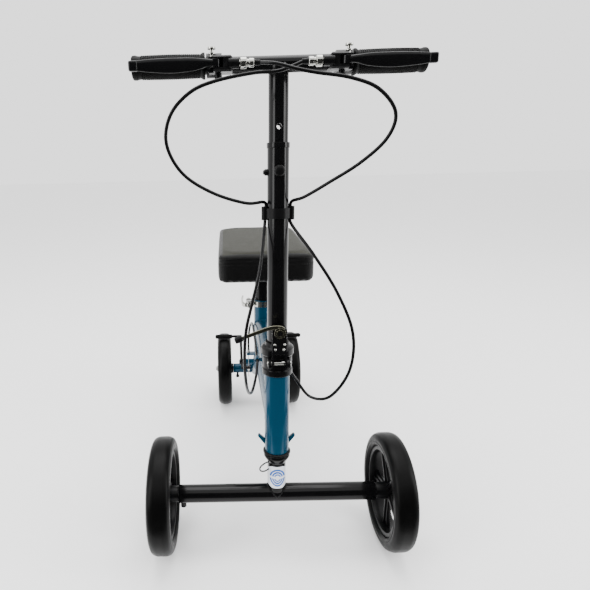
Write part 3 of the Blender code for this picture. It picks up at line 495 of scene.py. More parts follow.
def rounded(
    outline: Sequence[tuple[float, float]], radius: float, steps: int = 3
) -> list[tuple[float, float]]:
    """Rounds the corners of a closed outline, except those on the axis where the first value is 0.

    Args:
        outline: The corners in order.
        radius: How far along its edges a corner is cut back, at most.
        steps: Pieces in each rounded corner.

    Returns:
        The outline with each corner as a short arc.
    """
    smooth = []
    for i, here in enumerate(outline):
        before, after = Vector(outline[i - 1]), Vector(outline[(i + 1) % len(outline)])
        corner = Vector(here)
        reach = min(radius, (before - corner).length * 0.45, (after - corner).length * 0.45)
        if abs(here[0]) < 1e-9 or reach < 1e-6:
            smooth.append((here[0], here[1]))
            continue
        start = corner + (before - corner).normalized() * reach
        end = corner + (after - corner).normalized() * reach
        for k in range(steps + 1):
            t = k / steps
            spot = start * (1 - t) ** 2 + corner * 2 * t * (1 - t) + end * t**2
            smooth.append((spot.x, spot.y))
    return smooth


def eased(points: Sequence[Point], steps: int) -> list[Vector]:
    """Points on a smooth curve through the given ones, with that many steps between each two.

    Args:
        points: Two or more points of any size.
        steps: Steps between each two points.

    Returns:
        The curve's points, the first and last included.
    """
    knots = [Vector(p) for p in points]
    padded = [2 * knots[0] - knots[1], *knots, 2 * knots[-1] - knots[-2]]
    line = []
    for a, b, c, d in zip(padded, padded[1:], padded[2:], padded[3:]):
        for i in range(steps):
            t = i / steps
            bend = (2 * a - 5 * b + 4 * c - d) * t**2 + (3 * b - a - 3 * c + d) * t**3
            line.append(0.5 * (2 * b + (c - a) * t + bend))
    return [*line, knots[-1]]


class Shape:
    """A mesh put together from closed forms that are drawn in one frame."""

    def __init__(self, place: Matrix = WORLD) -> None:
        """Starts empty; place takes the frame the forms are drawn in to the world."""
        self.body = bmesh.new()
        self.place = place

    def take(self, form: bmesh.types.BMesh, place: Matrix) -> "Shape":
        """Adds a closed form after turning its faces outwards and placing it."""
        bmesh.ops.remove_doubles(form, verts=form.verts, dist=1e-6)
        bmesh.ops.transform(form, verts=form.verts, matrix=self.place @ place)
        bmesh.ops.recalc_face_normals(form, faces=form.faces)
        carrier = bpy.data.meshes.new("form")
        form.to_mesh(carrier)
        form.free()
        self.body.from_mesh(carrier)
        bpy.data.meshes.remove(carrier)
        return self

    def turned(
        self,
        outline: Sequence[tuple[float, float]],
        start: Point = (0, 0, 0),
        along: Point = (0, 0, 1),
        sides: int = 64,
    ) -> "Shape":
        """Turns a closed outline of (radius, distance) about an axis.

        Args:
            outline: The outline's corners; edges on the axis are left out.
            start: The axis's point at distance 0.
            along: The axis's direction.
            sides: Flats round the form.

        Returns:
            This shape.
        """
        form = bmesh.new()
        points = [form.verts.new((radius, 0, far)) for radius, far in outline]
        pairs = zip(points, points[1:] + points[:1])
        edges = [form.edges.new((a, b)) for a, b in pairs if a.co.x > 1e-9 or b.co.x > 1e-9]
        bmesh.ops.spin(
            form,
            geom=points + edges,
            cent=(0, 0, 0),
            axis=(0, 0, 1),
            angle=2 * math.pi,
            steps=sides,
            use_merge=True,
        )
        turn = Vector(along).to_track_quat("Z", "Y").to_matrix().to_4x4()
        return self.take(form, Matrix.Translation(start) @ turn)

    def bar(
        self,
        start: Point,
        end: Point,
        radius: float,
        end_radius: float | None = None,
        edge: float = 0.0005,
        sides: int = 48,
    ) -> "Shape":
        """A round bar between two points with softened ends."""
        along = Vector(end) - Vector(start)
        far = radius if end_radius is None else end_radius
        outline = [(0, 0), (radius, 0), (far, along.length), (0, along.length)]
        return self.turned(rounded(outline, edge), start, along, sides)

    def pipe(self, start: Point, end: Point, radius: float, bore: float, sides: int = 64) -> "Shape":
        """A round tube between two points."""
        along = Vector(end) - Vector(start)
        outline = [(bore, 0), (radius, 0), (radius, along.length), (bore, along.length)]
        return self.turned(rounded(outline, 0.0004), start, along, sides)

    def slab(
        self, outline: Sequence[tuple[float, float]], low: float, high: float, axes: str = "XYZ",
        edge: float = 0.0005,
    ) -> "Shape":
        """A flat outline made into a plate with softened edges.

        Args:
            outline: Corners along the first two axes.
            low: Where the plate starts along the last axis.
            high: Where it ends.
            axes: The order of the axes, such as "XZY".
            edge: Width of the softened edges.

        Returns:
            This shape.
        """
        order = ["XYZ".index(letter) for letter in axes]
        form = bmesh.new()
        corners = []
        for first, second in outline:
            spot = [0.0, 0.0, 0.0]
            spot[order[0]], spot[order[1]], spot[order[2]] = first, second, low
            corners.append(form.verts.new(spot))
        face = form.faces.new(corners)
        made = bmesh.ops.extrude_face_region(form, geom=[face])["geom"]
        rise = Vector((0, 0, 0))
        rise[order[2]] = high - low
        moved = [item for item in made if isinstance(item, bmesh.types.BMVert)]
        bmesh.ops.translate(form, verts=moved, vec=rise)
        if edge:
            rims = [e for e in form.edges if abs((e.verts[0].co - e.verts[1].co)[order[2]]) < 1e-7]
            bmesh.ops.bevel(
                form, geom=rims, offset=edge, segments=2, affect="EDGES", profile=0.5, clamp_overlap=True
            )
        return self.take(form, WORLD)

    def block(self, low: Point, high: Point, edge: float = 0.0008, steps: int = 3) -> "Shape":
        """A block between two corners with rounded edges."""
        lowest = Vector([min(a, b) for a, b in zip(low, high)])
        highest = Vector([max(a, b) for a, b in zip(low, high)])
        form = bmesh.new()
        size = Matrix.Diagonal((*(highest - lowest), 1))
        bmesh.ops.create_cube(form, size=1, matrix=Matrix.Translation((lowest + highest) / 2) @ size)
        bmesh.ops.bevel(
            form, geom=form.edges[:], offset=edge, segments=steps, affect="EDGES", profile=0.5
        )
        return self.take(form, WORLD)

    def ball(self, centre: Point, radius: float, squash: Point = (1, 1, 1)) -> "Shape":
        """A ball, squashed along the axes."""
        form = bmesh.new()
        bmesh.ops.create_uvsphere(
            form, u_segments=32, v_segments=18, radius=radius, matrix=Matrix.Diagonal((*squash, 1))
        )
        return self.take(form, Matrix.Translation(centre))

    def blade(
        self, path: Sequence[Point], halves: Sequence[tuple[float, float]], up: Point, steps: int = 6,
        sides: int = 20, squareness: float = 2.6,
    ) -> "Shape":
        """A bar that follows a curve with a section that changes along it.

        Args:
            path: Points that the middle of the bar passes.
            halves: Half the width across and half the height along up at each point.
            up: The direction of the height.
            steps: Steps between each two points.
            sides: Corners of the section.
            squareness: 2 for an oval section, more for a squarer one.

        Returns:
            This shape.
        """
        line = eased(path, steps)
        sizes = eased(halves, steps)
        rise = Vector(up).normalized()
        form = bmesh.new()
        rings = []
        for i, spot in enumerate(line):
            ahead = (line[min(i + 1, len(line) - 1)] - line[max(i - 1, 0)]).normalized()
            across = ahead.cross(rise).normalized()
            lift = across.cross(ahead)
            ring = []
            for k in range(sides):
                turn = 2 * math.pi * k / sides
                wide, high = math.cos(turn), math.sin(turn)
                wide = math.copysign(abs(wide) ** (2 / squareness), wide) * sizes[i].x
                high = math.copysign(abs(high) ** (2 / squareness), high) * sizes[i].y
                ring.append(form.verts.new(spot + across * wide + lift * high))
            rings.append(ring)
        for ring, following in zip(rings, rings[1:]):
            for k in range(sides):
                form.faces.new(
                    (ring[k], ring[(k + 1) % sides], following[(k + 1) % sides], following[k])
                )
        form.faces.new(rings[0])
        form.faces.new(rings[-1])
        return self.take(form, WORLD)

    def mesh(self, name: str) -> bpy.types.Mesh:
        """The finished mesh, smooth except across sharp edges."""
        made = bpy.data.meshes.new(name)
        self.body.to_mesh(made)
        self.body.free()
        made.shade_smooth()
        made.set_sharp_from_angle(angle=SMOOTH_ANGLE)
        return made


def piece(
    name: str,
    mesh: bpy.types.Mesh,
    finish: Finish,
    body: str | None,
    nodes: Sequence[str] = (),
) -> bpy.types.Object:
    """Makes a visible piece out of a mesh that is already in place.

    Args:
        name: The piece's name.
        mesh: Its mesh, in the world.
        finish: Its finish, used where the mesh has no material of its own.
        body: The CAD body it moves with, or None to leave it unattached.
        nodes: The CAD nodes it stands for.

    Returns:
        The object.
    """
    made = bpy.data.objects.new(name, mesh)
    bpy.context.scene.collection.objects.link(made)
    if not mesh.materials:
        mesh.materials.append(finish.material())
    if nodes:
        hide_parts(*nodes)
    if body:
        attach(made, body)
    LOG.info("%s: %d faces, %s", name, len(mesh.polygons), finish.name)
    return made


def refined(node: str, finish: Finish, body: str, edge: float = 0.0004) -> bpy.types.Object:
    """A CAD node's shape again with its facets merged and its edges softened.

    Args:
        node: The CAD node.
        finish: The finish of the new piece.
        body: The CAD body it moves with.
        edge: Width of the softened edges.

    Returns:
        The new object, which stands for the node.
    """
    copy = bmesh.new()
    copy.from_mesh(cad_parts[node].data)
    bmesh.ops.remove_doubles(copy, verts=copy.verts, dist=2e-6)
    bmesh.ops.dissolve_limit(
        copy, angle_limit=math.radians(0.6), verts=copy.verts, edges=copy.edges
    )
    mesh = bpy.data.meshes.new(f"{node}_refined")
    copy.to_mesh(mesh)
    copy.free()
    mesh.shade_smooth()
    mesh.set_sharp_from_angle(angle=SMOOTH_ANGLE)
    made = piece(f"{node}_shape", mesh, finish, body, [node])
    soften = made.modifiers.new("softened_edges", "BEVEL")
    soften.width, soften.segments, soften.limit_method = edge, 2, "ANGLE"
    soften.angle_limit, soften.use_clamp_overlap = SMOOTH_ANGLE, True
    return made


# --- Repeated details -----------------------------------------------------------------------


class Pattern(Enum):
    """What a geometry tree does with the points or the line it is given."""

    STUDS = "studs"
    BEADS = "beads"
    CORD = "cord"


class Repeater:
    """A Geometry Nodes tree that makes studs on points, beads along a line or a cord on one."""

    SIZES = {
        Pattern.STUDS: {"Radius": 0.001, "Height": 0.001},
        Pattern.BEADS: {"Radius": 0.001, "Height": 0.001, "Pitch": 0.002},
        Pattern.CORD: {"Radius": 0.001, "Pitch": 0.004},
    }

    def __init__(self, pattern: Pattern) -> None:
        """Builds the tree of one pattern, with its sizes as named inputs."""
        self.tree = bpy.data.node_groups.new(f"{pattern.value}_tree", "GeometryNodeTree")
        sockets = self.tree.interface
        sockets.new_socket("Geometry", in_out="INPUT", socket_type="NodeSocketGeometry")
        for label, value in self.SIZES[pattern].items():
            made = sockets.new_socket(label, in_out="INPUT", socket_type="NodeSocketFloat")
            made.default_value = value
        sockets.new_socket("Material", in_out="INPUT", socket_type="NodeSocketMaterial")
        sockets.new_socket("Geometry", in_out="OUTPUT", socket_type="NodeSocketGeometry")
        graph = Graph(self.tree)
        entry = graph.node("NodeGroupInput").socket.node
        self.given = {socket.name: Flow(graph, socket) for socket in entry.outputs if socket.name}
        build = {Pattern.STUDS: self._studs, Pattern.BEADS: self._beads, Pattern.CORD: self._cord}
        body = build[pattern](graph)
        smooth = graph.node("GeometryNodeSetShadeSmooth", inputs={0: body})
        dressed = graph.node(
            "GeometryNodeSetMaterial", inputs={"Geometry": smooth, "Material": self.given["Material"]}
        )
        graph.node("NodeGroupOutput", inputs={0: dressed})

    def _copies(self, graph: Graph, points: Flow, facing: Flow) -> Flow:
        """Small balls on points, flattened along the direction they face."""
        ball = graph.node("GeometryNodeMeshIcoSphere", inputs={"Radius": 1.0, "Subdivisions": 1})
        turn = graph.node("FunctionNodeAlignRotationToVector", {"axis": "Z"}, {"Vector": facing})
        radius = self.given["Radius"]
        size = graph.node(
            "ShaderNodeCombineXYZ", inputs={0: radius, 1: radius, 2: self.given["Height"]}
        )
        copies = graph.node(
            "GeometryNodeInstanceOnPoints",
            inputs={"Points": points, "Instance": ball, "Rotation": turn, "Scale": size},
        )
        return graph.node("GeometryNodeRealizeInstances", inputs={0: copies})

    def _line(self, graph: Graph) -> Flow:
        """The given edges as a curve with points a pitch apart."""
        curve = graph.node("GeometryNodeMeshToCurve", inputs={0: self.given["Geometry"]})
        return graph.node(
            "GeometryNodeResampleCurve", {"mode": "LENGTH"}, {"Curve": curve, "Length": self.given["Pitch"]}
        )

    def _studs(self, graph: Graph) -> Flow:
        """A stud on each point, facing the way the point's attribute says."""
        facing = graph.node(
            "GeometryNodeInputNamedAttribute", {"data_type": "FLOAT_VECTOR"}, {"Name": "facing"}
        )
        return self._copies(graph, self.given["Geometry"], facing)

    def _beads(self, graph: Graph) -> Flow:
        """Beads lying along the line."""
        return self._copies(graph, self._line(graph), graph.node("GeometryNodeInputTangent"))

    def _cord(self, graph: Graph) -> Flow:
        """A round cord on the line."""
        ring = graph.node(
            "GeometryNodeCurvePrimitiveCircle", inputs={"Resolution": 14, "Radius": self.given["Radius"]}
        )
        return graph.node(
            "GeometryNodeCurveToMesh",
            inputs={"Curve": self._line(graph), "Profile Curve": ring, "Fill Caps": True},
        )

    def apply(self, source: bpy.types.Mesh, finish: Finish, **sizes: float) -> bpy.types.Mesh:
        """Runs the tree on a mesh.

        Args:
            source: The points or edges to work on.
            finish: The finish of what is made.
            sizes: Values for the tree's named inputs.

        Returns:
            A plain mesh.
        """
        carrier = bpy.data.objects.new("carrier", source)
        bpy.context.scene.collection.objects.link(carrier)
        modifier = carrier.modifiers.new("repeat", "NODES")
        modifier.node_group = self.tree
        for item in self.tree.interface.items_tree:
            if item.in_out == "INPUT" and item.name in sizes:
                modifier[item.identifier] = sizes[item.name]
            elif item.in_out == "INPUT" and item.name == "Material":
                modifier[item.identifier] = finish.material()
        carrier.update_tag()
        result = bpy.data.meshes.new_from_object(
            carrier.evaluated_get(bpy.context.evaluated_depsgraph_get())
        )
        bpy.data.objects.remove(carrier)
        return result


@cache
def repeater(pattern: Pattern) -> Repeater:
    """The tree of a pattern, built once."""
    return Repeater(pattern)


def line_mesh(lines: Sequence[Sequence[Point]], closed: bool = False) -> bpy.types.Mesh:
    """A mesh of loose edges along lines of points."""
    made = bpy.data.meshes.new("lines")
    points, edges = [], []
    for line in lines:
        first = len(points)
        points += [tuple(p) for p in line]
        edges += [(first + i, first + i + 1) for i in range(len(line) - 1)]
        if closed:
            edges.append((len(points) - 1, first))
    made.from_pydata(points, edges, [])
    return made


def studs(
    name: str,
    spots: Sequence[tuple[Vector, Vector]],
    radius: float,
    height: float,
    finish: Finish,
    body: str,
) -> bpy.types.Object:
    """Studs, such as rivet heads or knurls, on spots given as (place, direction)."""
    source = bpy.data.meshes.new("spots")
    source.from_pydata([tuple(place) for place, _ in spots], [], [])
    facing = source.attributes.new("facing", "FLOAT_VECTOR", "POINT")
    facing.data.foreach_set("vector", [value for _, way in spots for value in way])
    mesh = repeater(Pattern.STUDS).apply(source, finish, Radius=radius, Height=height)
    return piece(name, mesh, finish, body)


def beads(
    name: str,
    lines: Sequence[Sequence[Point]],
    radius: float,
    length: float,
    pitch: float,
    finish: Finish,
    body: str,
    closed: bool = True,
) -> bpy.types.Object:
    """Beads along lines: a weld's scallops or a seam's stitches."""
    mesh = repeater(Pattern.BEADS).apply(
        line_mesh(lines, closed), finish, Radius=radius, Height=length / 2, Pitch=pitch
    )
    return piece(name, mesh, finish, body)


def cord_mesh(line: Sequence[Point], radius: float, finish: Finish, closed: bool = False) -> bpy.types.Mesh:
    """A round cord's mesh along a line of points."""
    return repeater(Pattern.CORD).apply(line_mesh([line], closed), finish, Radius=radius, Pitch=0.003)


def tube_basis(way: Vector) -> tuple[Vector, Vector]:
    """Two directions square to a tube in the middle plane, the same for either way along it."""
    forward = way if way.y > 0 else -way
    side = Vector((1, 0, 0))
    return (side, forward.cross(side)) if abs(way.x) < 0.5 else (Vector((0, 1, 0)), Vector((0, 0, 1)))


def resampled(line: Sequence[Vector], pitch: float) -> list[Vector]:
    """Points on a closed line a whole number of pitches apart, as near to pitch as fits."""
    closed = [*line, line[0]]
    lengths = [(b - a).length for a, b in zip(closed, closed[1:])]
    count = round(sum(lengths) / pitch)
    spaced, walked, i = [], 0.0, 0
    for k in range(count):
        target = k * sum(lengths) / count
        while walked + lengths[i] < target:
            walked += lengths[i]
            i += 1
        spaced.append(closed[i].lerp(closed[i + 1], (target - walked) / lengths[i]))
    return spaced


def saddle(
    centre: Point, along: Point, radius: float, axis_point: Point, axis: Point, main_radius: float
) -> list[Vector]:
    """Where a tube meets the outside of a larger one.

    Args:
        centre: A point on the smaller tube's axis, outside the larger tube.
        along: The smaller tube's direction, towards the larger one.
        radius: The smaller tube's radius.
        axis_point: A point on the larger tube's axis.
        axis: The larger tube's direction.
        main_radius: The larger tube's radius.

    Returns:
        The closed line where the two surfaces meet.
    """
    way, main = Vector(along).normalized(), Vector(axis).normalized()
    side, other = tube_basis(way)
    line = []
    for k in range(72):
        turn = 2 * math.pi * k / 72
        spot = Vector(centre) + radius * (math.cos(turn) * side + math.sin(turn) * other)
        gap = spot - Vector(axis_point)
        flat_gap, flat_way = gap - gap.dot(main) * main, way - way.dot(main) * main
        a, b = flat_way.length_squared, 2 * flat_gap.dot(flat_way)
        c = flat_gap.length_squared - main_radius**2
        root = max(b * b - 4 * a * c, 0.0)
        line.append(spot + way * ((-b - math.sqrt(root)) / (2 * a)))
    return line


# --- Wheels ---------------------------------------------------------------------------------


@dataclass
class Wheel:
    """A solid tyre on a five-spoke moulded rim, with a bearing in each end of its hub."""

    name: str
    hub: Vector
    radius: float
    width: float
    inner: float
    outer: float
    side: Side
    spokes: int = 5
    bead_depth: float = 0.0228
    lip_depth: float = 0.0085
    hub_radius: float = 0.0148
    axle_radius: float = 0.005

    def tyre(self) -> bpy.types.Mesh:
        """The tyre, with rounded shoulders and a moulded line on each wall."""
        half, bead, rim = self.width / 2, self.radius - self.bead_depth, self.radius
        wall = [(bead, -half + 0.0045), (rim - 0.0190, -half), (rim - 0.0158, -half)]
        wall += [(rim - 0.0153, -half + 0.0006), (rim - 0.0147, -half + 0.0006), (rim - 0.0142, -half)]
        wall += [(rim - 0.0100, -half), (rim - 0.0030, -half + 0.0032), (rim, -half + 0.0105)]
        outline = wall + [(r, -far) for r, far in reversed(wall)]
        shape = Shape().turned(rounded(outline, 0.0032, 4), self.hub, (self.side.value, 0, 0), 112)
        return shape.mesh(f"{self.name}_tyre")

    def rim(self) -> bpy.types.Mesh:
        """The rim's ring, hub and ribbed spokes."""
        half = self.width / 2 - 0.005
        outer = self.radius - self.bead_depth - GAP
        lip = outer + GAP - self.lip_depth
        shape = Shape()
        ring = [(lip, -0.006), (lip + 0.0012, -half), (outer, -half), (outer, half)]
        ring += [(lip + 0.0012, half), (lip, 0.006)]
        shape.turned(rounded(ring, 0.0015), self.hub, (self.side.value, 0, 0), 112)
        bore, hub = self.axle_radius + GAP, self.hub_radius
        core = [(bore, -self.inner), (hub - 0.0015, -self.inner), (hub, -0.006), (hub, 0.006)]
        core += [(hub - 0.0010, self.outer), (bore, self.outer)]
        shape.turned(rounded(core, 0.0010), self.hub, (self.side.value, 0, 0), 64)
        for k in range(self.spokes):
            turn = math.radians(126 + 360 / self.spokes * k)
            for widths, depth in (((0.0088, 0.0070, 0.0080, 0.0135), 0.0032), ((0.0026,) * 4, 0.0062)):
                reach = (hub - 0.003, hub + 0.010, lip - 0.014, lip + 0.002)
                flat = [(r, w) for r, w in zip(reach, widths)]
                flat += [(r, -w) for r, w in reversed(flat)]
                spoke = [
                    (
                        self.hub.y + r * math.cos(turn) - w * math.sin(turn),
                        self.hub.z + r * math.sin(turn) + w * math.cos(turn),
                    )
                    for r, w in rounded(flat, 0.004)
                ]
                shape.slab(spoke, self.hub.x - depth, self.hub.x + depth, "YZX", 0.0008)
        return shape.mesh(f"{self.name}_rim")

    def bearings(self) -> bpy.types.Mesh:
        """The visible face of the bearing in each end of the hub."""
        shape, sign = Shape(), self.side.value
        for far in (-self.inner - 0.0001, self.outer + 0.0001):
            middle = self.hub + Vector((sign * far, 0, 0))
            reach = Vector((0.0002, 0, 0))
            shape.pipe(middle - reach, middle + reach, 0.0105, self.axle_radius + GAP)
        return shape.mesh(f"{self.name}_bearings")

    def build(self) -> None:
        """Makes the wheel's pieces."""
        body = f"{self.name}_wheel"
        piece(f"{self.name}_tyre_rubber", self.tyre(), TYRE, body, [f"{self.name}_tyre"])
        piece(f"{self.name}_rim_moulding", self.rim(), RIM, body, [f"{self.name}_rim"])
        piece(f"{self.name}_bearings", self.bearings(), ZINC, body)


@dataclass
class AxleRod:
    """A through rod with a washer and a lock nut on each end."""

    node: str
    body: str
    centre: Vector
    half: float
    nut_start: float
    nut_length: float
    radius: float = 0.005

    def build(self) -> None:
        """Makes the rod, its washers and its nuts."""
        shape = Shape()
        reach = Vector((self.half, 0, 0))
        shape.bar(self.centre - reach, self.centre + reach, self.radius, edge=0.0008)
        for side in Side:
            out = Vector((side.value, 0, 0))
            start = self.centre + out * self.nut_start
            nut = [(0, 0), (0.0078, 0), (0.0078, self.nut_length * 0.72), (0.0058, self.nut_length * 0.8)]
            nut += [(0.0056, self.nut_length), (0, self.nut_length)]
            shape.turned(rounded(nut, 0.0004), start, out, 6)
            shape.bar(start - out * 0.0010, start, 0.0088, edge=0.0002)
        piece(f"{self.node}_set", shape.mesh(self.node), ZINC, self.body, [self.node])


# --- Welded frame ---------------------------------------------------------------------------


@dataclass
class WeldedFrame:
    """The teal frame: two crossing tubes from the head tube to the seat tube and a rear tube."""

    top_z: float = 0.2915
    lower_front_z: float = 0.2415
    lower_rear_z: float = 0.2165
    wall: float = 0.0022
    head_low: float = 0.0858
    head_high: float = 0.2263

    def coped_tube(
        self,
        shape: Shape,
        start: Vector,
        end: Vector,
        ends: Sequence[Callable[[Vector, Vector, float], list[Vector]]],
    ) -> list[list[Vector]]:
        """Adds a tube whose ends fit what they meet.

        Args:
            shape: The shape the tube joins.
            start: The tube's axis at its front.
            end: The tube's axis at its rear.
            ends: For each end, what gives the line where a tube of some radius stops.

        Returns:
            The outer line at each end, for its weld.
        """
        middle, way = (start + end) / 2, (end - start).normalized()
        outer = [make(middle, sign * way, FRAME_RADIUS) for make, sign in zip(ends, (-1, 1))]
        inner = [make(middle, sign * way, FRAME_RADIUS - self.wall) for make, sign in zip(ends, (-1, 1))]
        form = bmesh.new()
        loops = [[form.verts.new(p) for p in line] for line in (outer[0], outer[1], inner[1], inner[0])]
        count = len(loops[0])
        for near, far in zip(loops, loops[1:] + loops[:1]):
            for k in range(count):
                form.faces.new((near[k], near[(k + 1) % count], far[(k + 1) % count], far[k]))
        shape.take(form, WORLD)
        return outer

    @staticmethod
    def at_head(centre: Vector, way: Vector, radius: float) -> list[Vector]:
        """The line where a tube of that radius meets the head tube."""
        axis = COLUMN.to_3x3() @ Vector((0, 0, 1))
        return saddle(centre, way, radius, FRONT_AXLE, axis, HEAD_RADIUS)

    @staticmethod
    def at_seat(centre: Vector, way: Vector, radius: float) -> list[Vector]:
        """The line where a tube of that radius meets the seat tube."""
        return saddle(centre, way, radius, (0, SEAT_TUBE_Y, 0), (0, 0, 1), FRAME_RADIUS)

    @staticmethod
    def past_axle(centre: Vector, way: Vector, radius: float) -> list[Vector]:
        """The square-cut line just past the rear axle tube."""
        far = centre + way * ((REAR_AXLE - centre).dot(way) + 0.0145)
        side, other = tube_basis(way)
        return [
            far + radius * (math.cos(t) * side + math.sin(t) * other)
            for t in (2 * math.pi * k / 72 for k in range(72))
        ]

    def head(self) -> None:
        """The head tube with the lug on each side, and the two bearing cups."""
        shape = Shape(COLUMN).pipe((0, 0, self.head_low), (0, 0, self.head_high), HEAD_RADIUS, 0.0170, 96)
        for side in Side:
            lug = [(0.0150, 0.0930), (0.0205, 0.0925), (0.0318, 0.1078), (0.0312, 0.1100)]
            lug += [(0.0290, 0.1112), (0.0170, 0.1010)]
            shape.slab([(side.value * x, h) for x, h in lug], 0.0035, 0.0105, "XZY", 0.0010)
        piece("head_tube_enamelled", shape.mesh("head_tube"), TEAL, "frame", ["head_tube"])
        bore, skirt = 0.0130, 0.0167
        low = [(bore, 0.0805), (0.0215, 0.0805), (0.0233, 0.0818), (0.0233, 0.0843), (0.0214, 0.0855)]
        low += [(skirt, 0.0855), (skirt, 0.0940), (bore, 0.0940)]
        high = [(bore, 0.2180), (skirt, 0.2180), (skirt, 0.2266), (0.0235, 0.2266), (0.0245, 0.2280)]
        high += [(0.0245, 0.2362), (0.0232, 0.2380), (bore, 0.2380)]
        for name, outline in (("headset_cup_lower", low), ("headset_cup_upper", high)):
            cup = Shape(COLUMN).turned(rounded(outline, 0.0006), sides=96)
            piece(f"{name}_turned", cup.mesh(name), CAST, "frame", [name])

    def guides(self, shape: Shape) -> None:
        """Adds the hoops that hold the cables on the upper tube's sides."""
        for side in Side:
            spot = Vector((side.value * CABLE_RUN.x, CABLE_RUN.y, CABLE_RUN.z))
            reach = Vector((0, 0.007, 0))
            shape.pipe(spot - reach, spot + reach, 0.0046, 0.0029, 32)
            shape.block(
                (side.value * 0.0165, spot.y - 0.005, spot.z - 0.0024),
                (side.value * 0.0218, spot.y + 0.005, spot.z + 0.0006),
                0.0004,
            )

    def tubes(self) -> None:
        """The crossing tubes and the rear tube, with their welds."""
        seat_front = Vector((0, SEAT_TUBE_Y, self.lower_rear_z))
        routes = (
            ("top_tube", (0, FRONT_AXLE.y, self.top_z), (0, SEAT_TUBE_Y, self.top_z)),
            ("lower_tube", (0, FRONT_AXLE.y, self.lower_front_z), seat_front),
        )
        for name, start, end in routes:
            shape = Shape()
            welds = self.coped_tube(shape, Vector(start), Vector(end), (self.at_head, self.at_seat))
            if name == "top_tube":
                self.guides(shape)
            piece(f"{name}_enamelled", shape.mesh(name), TEAL, "frame", [name])
            beads(f"{name}_welds", welds, 0.0015, 0.0032, 0.0019, TEAL, "frame")
        shape = Shape()
        welds = self.coped_tube(shape, seat_front, REAR_AXLE, (self.at_seat, self.past_axle))
        way = (REAR_AXLE - seat_front).normalized()
        shape.bar(REAR_AXLE + way * 0.0125, REAR_AXLE + way * 0.0140, FRAME_RADIUS - 0.0018)
        stop = CABLE_STOP
        low, high = (-0.0335, stop.y - 0.010, stop.z - 0.0040), (0.0335, stop.y + 0.010, stop.z - 0.0008)
        shape.block(low, high, 0.0012)
        for half, radius in ((0.0345, 0.0075), (0.0520, 0.0045)):
            reach = Vector((half, 0, 0))
            shape.bar(BRAKE_PIVOT - reach, BRAKE_PIVOT + reach, radius, edge=0.0006)
        piece("rear_tube_enamelled", shape.mesh("rear_tube"), TEAL, "frame", ["rear_tube"])
        beads("rear_tube_welds", welds[:1], 0.0015, 0.0032, 0.0019, TEAL, "frame")
        refined("seat_tube", TEAL, "frame")

    def axle_tube(self) -> None:
        """The tube across the rear, with the small screw below it and its welds."""
        half = Vector((0.066, 0, 0))
        shape = Shape().pipe(REAR_AXLE - half, REAR_AXLE + half, 0.0127, 0.0053)
        piece("rear_axle_tube_enamelled", shape.mesh("rear_axle_tube"), TEAL, "frame", ["rear_axle_tube"])
        screw = Shape().bar((-0.055, REAR_AXLE.y, 0.0760), (-0.055, REAR_AXLE.y, 0.0870), 0.0028)
        screw.bar((-0.055, REAR_AXLE.y, 0.0705), (-0.055, REAR_AXLE.y, 0.0770), 0.0046, edge=0.0010)
        piece("rear_axle_screw", screw.mesh("rear_axle_screw"), CAST, "frame")
        rings = []
        for side in Side:
            x = side.value * (FRAME_RADIUS + 0.0002)
            rings.append(
                [
                    (x, REAR_AXLE.y + 0.0131 * math.cos(t), REAR_AXLE.z + 0.0131 * math.sin(t))
                    for t in (2 * math.pi * k / 48 for k in range(48))
                ]
            )
        beads("rear_axle_welds", rings, 0.0013, 0.0030, 0.0018, TEAL, "frame")

    def build(self) -> None:
        """Makes the frame's pieces."""
        self.head()
        self.tubes()
        self.axle_tube()


# --- Fork and folding column ----------------------------------------------------------------


@dataclass
class Fork:
    """The black post on the front axle tube, with its badge and the fold's base casting."""

    tube_radius: float = 0.0155
    tube_half: float = 0.1715
    steerer: float = 0.0127

    def post(self) -> None:
        """The post with its collar and the steerer above it."""
        r, s = self.tube_radius, self.steerer
        outline = [(0, 0.008), (r, 0.008), (r, 0.0640), (0.0172, 0.0668), (0.0222, 0.0755)]
        outline += [(0.0222, 0.0802), (s, 0.0802), (s, 0.2440), (0, 0.2440)]
        shape = Shape(COLUMN).turned(rounded(outline, 0.0010), sides=96)
        piece("fork_post_enamelled", shape.mesh("fork_post"), BLACK, "fork", ["fork_post"])
        refined("fork_badge", BADGE, "fork", 0.0001)
        loop = [(-0.0145, -0.2690, 0.1655), (-0.0225, -0.2760, 0.1668), (-0.0298, -0.2785, 0.1610)]
        loop += [(-0.0292, -0.2790, 0.1550), (-0.0225, -0.2780, 0.1532), (-0.0145, -0.2745, 0.1552)]
        piece("fork_wire", cord_mesh(eased(loop, 8), 0.0012, JACKET), JACKET, "fork")

    def axle(self) -> None:
        """The tube across the front with its peg and the weld under the post."""
        half = self.tube_half
        shape = Shape(COLUMN).pipe((-half, 0, 0), (half, 0, 0), self.tube_radius, 0.0053, 96)
        shape.bar((-0.1645, 0, -0.0255), (-0.1645, 0, -0.0120), 0.0050, edge=0.0012)
        piece("front_axle_tube_enamelled", shape.mesh("axle"), BLACK, "fork", ["front_axle_tube"])
        down = COLUMN.to_3x3() @ Vector((0, 0, -1))
        weld = saddle(column_point(0, 0, 0.05), down, self.tube_radius, FRONT_AXLE, (1, 0, 0), 0.0155)
        beads("fork_weld", [weld], 0.0017, 0.0032, 0.0019, BLACK, "fork")

    def build(self) -> None:
        """Makes the fork's pieces."""
        self.post()
        self.axle()
        refined("fold_base", CAST, "fork", 0.0007)
        refined("fold_hinge_pin", ZINC, "fork")
        pin = Shape(COLUMN).bar((-0.0186, -0.0285, 0.2535), (0.0186, -0.0285, 0.2535), 0.0030, edge=0.0006)
        piece("catch_pin_bright", pin.mesh("catch_pin"), CHROME, "fork", ["catch_pin"])


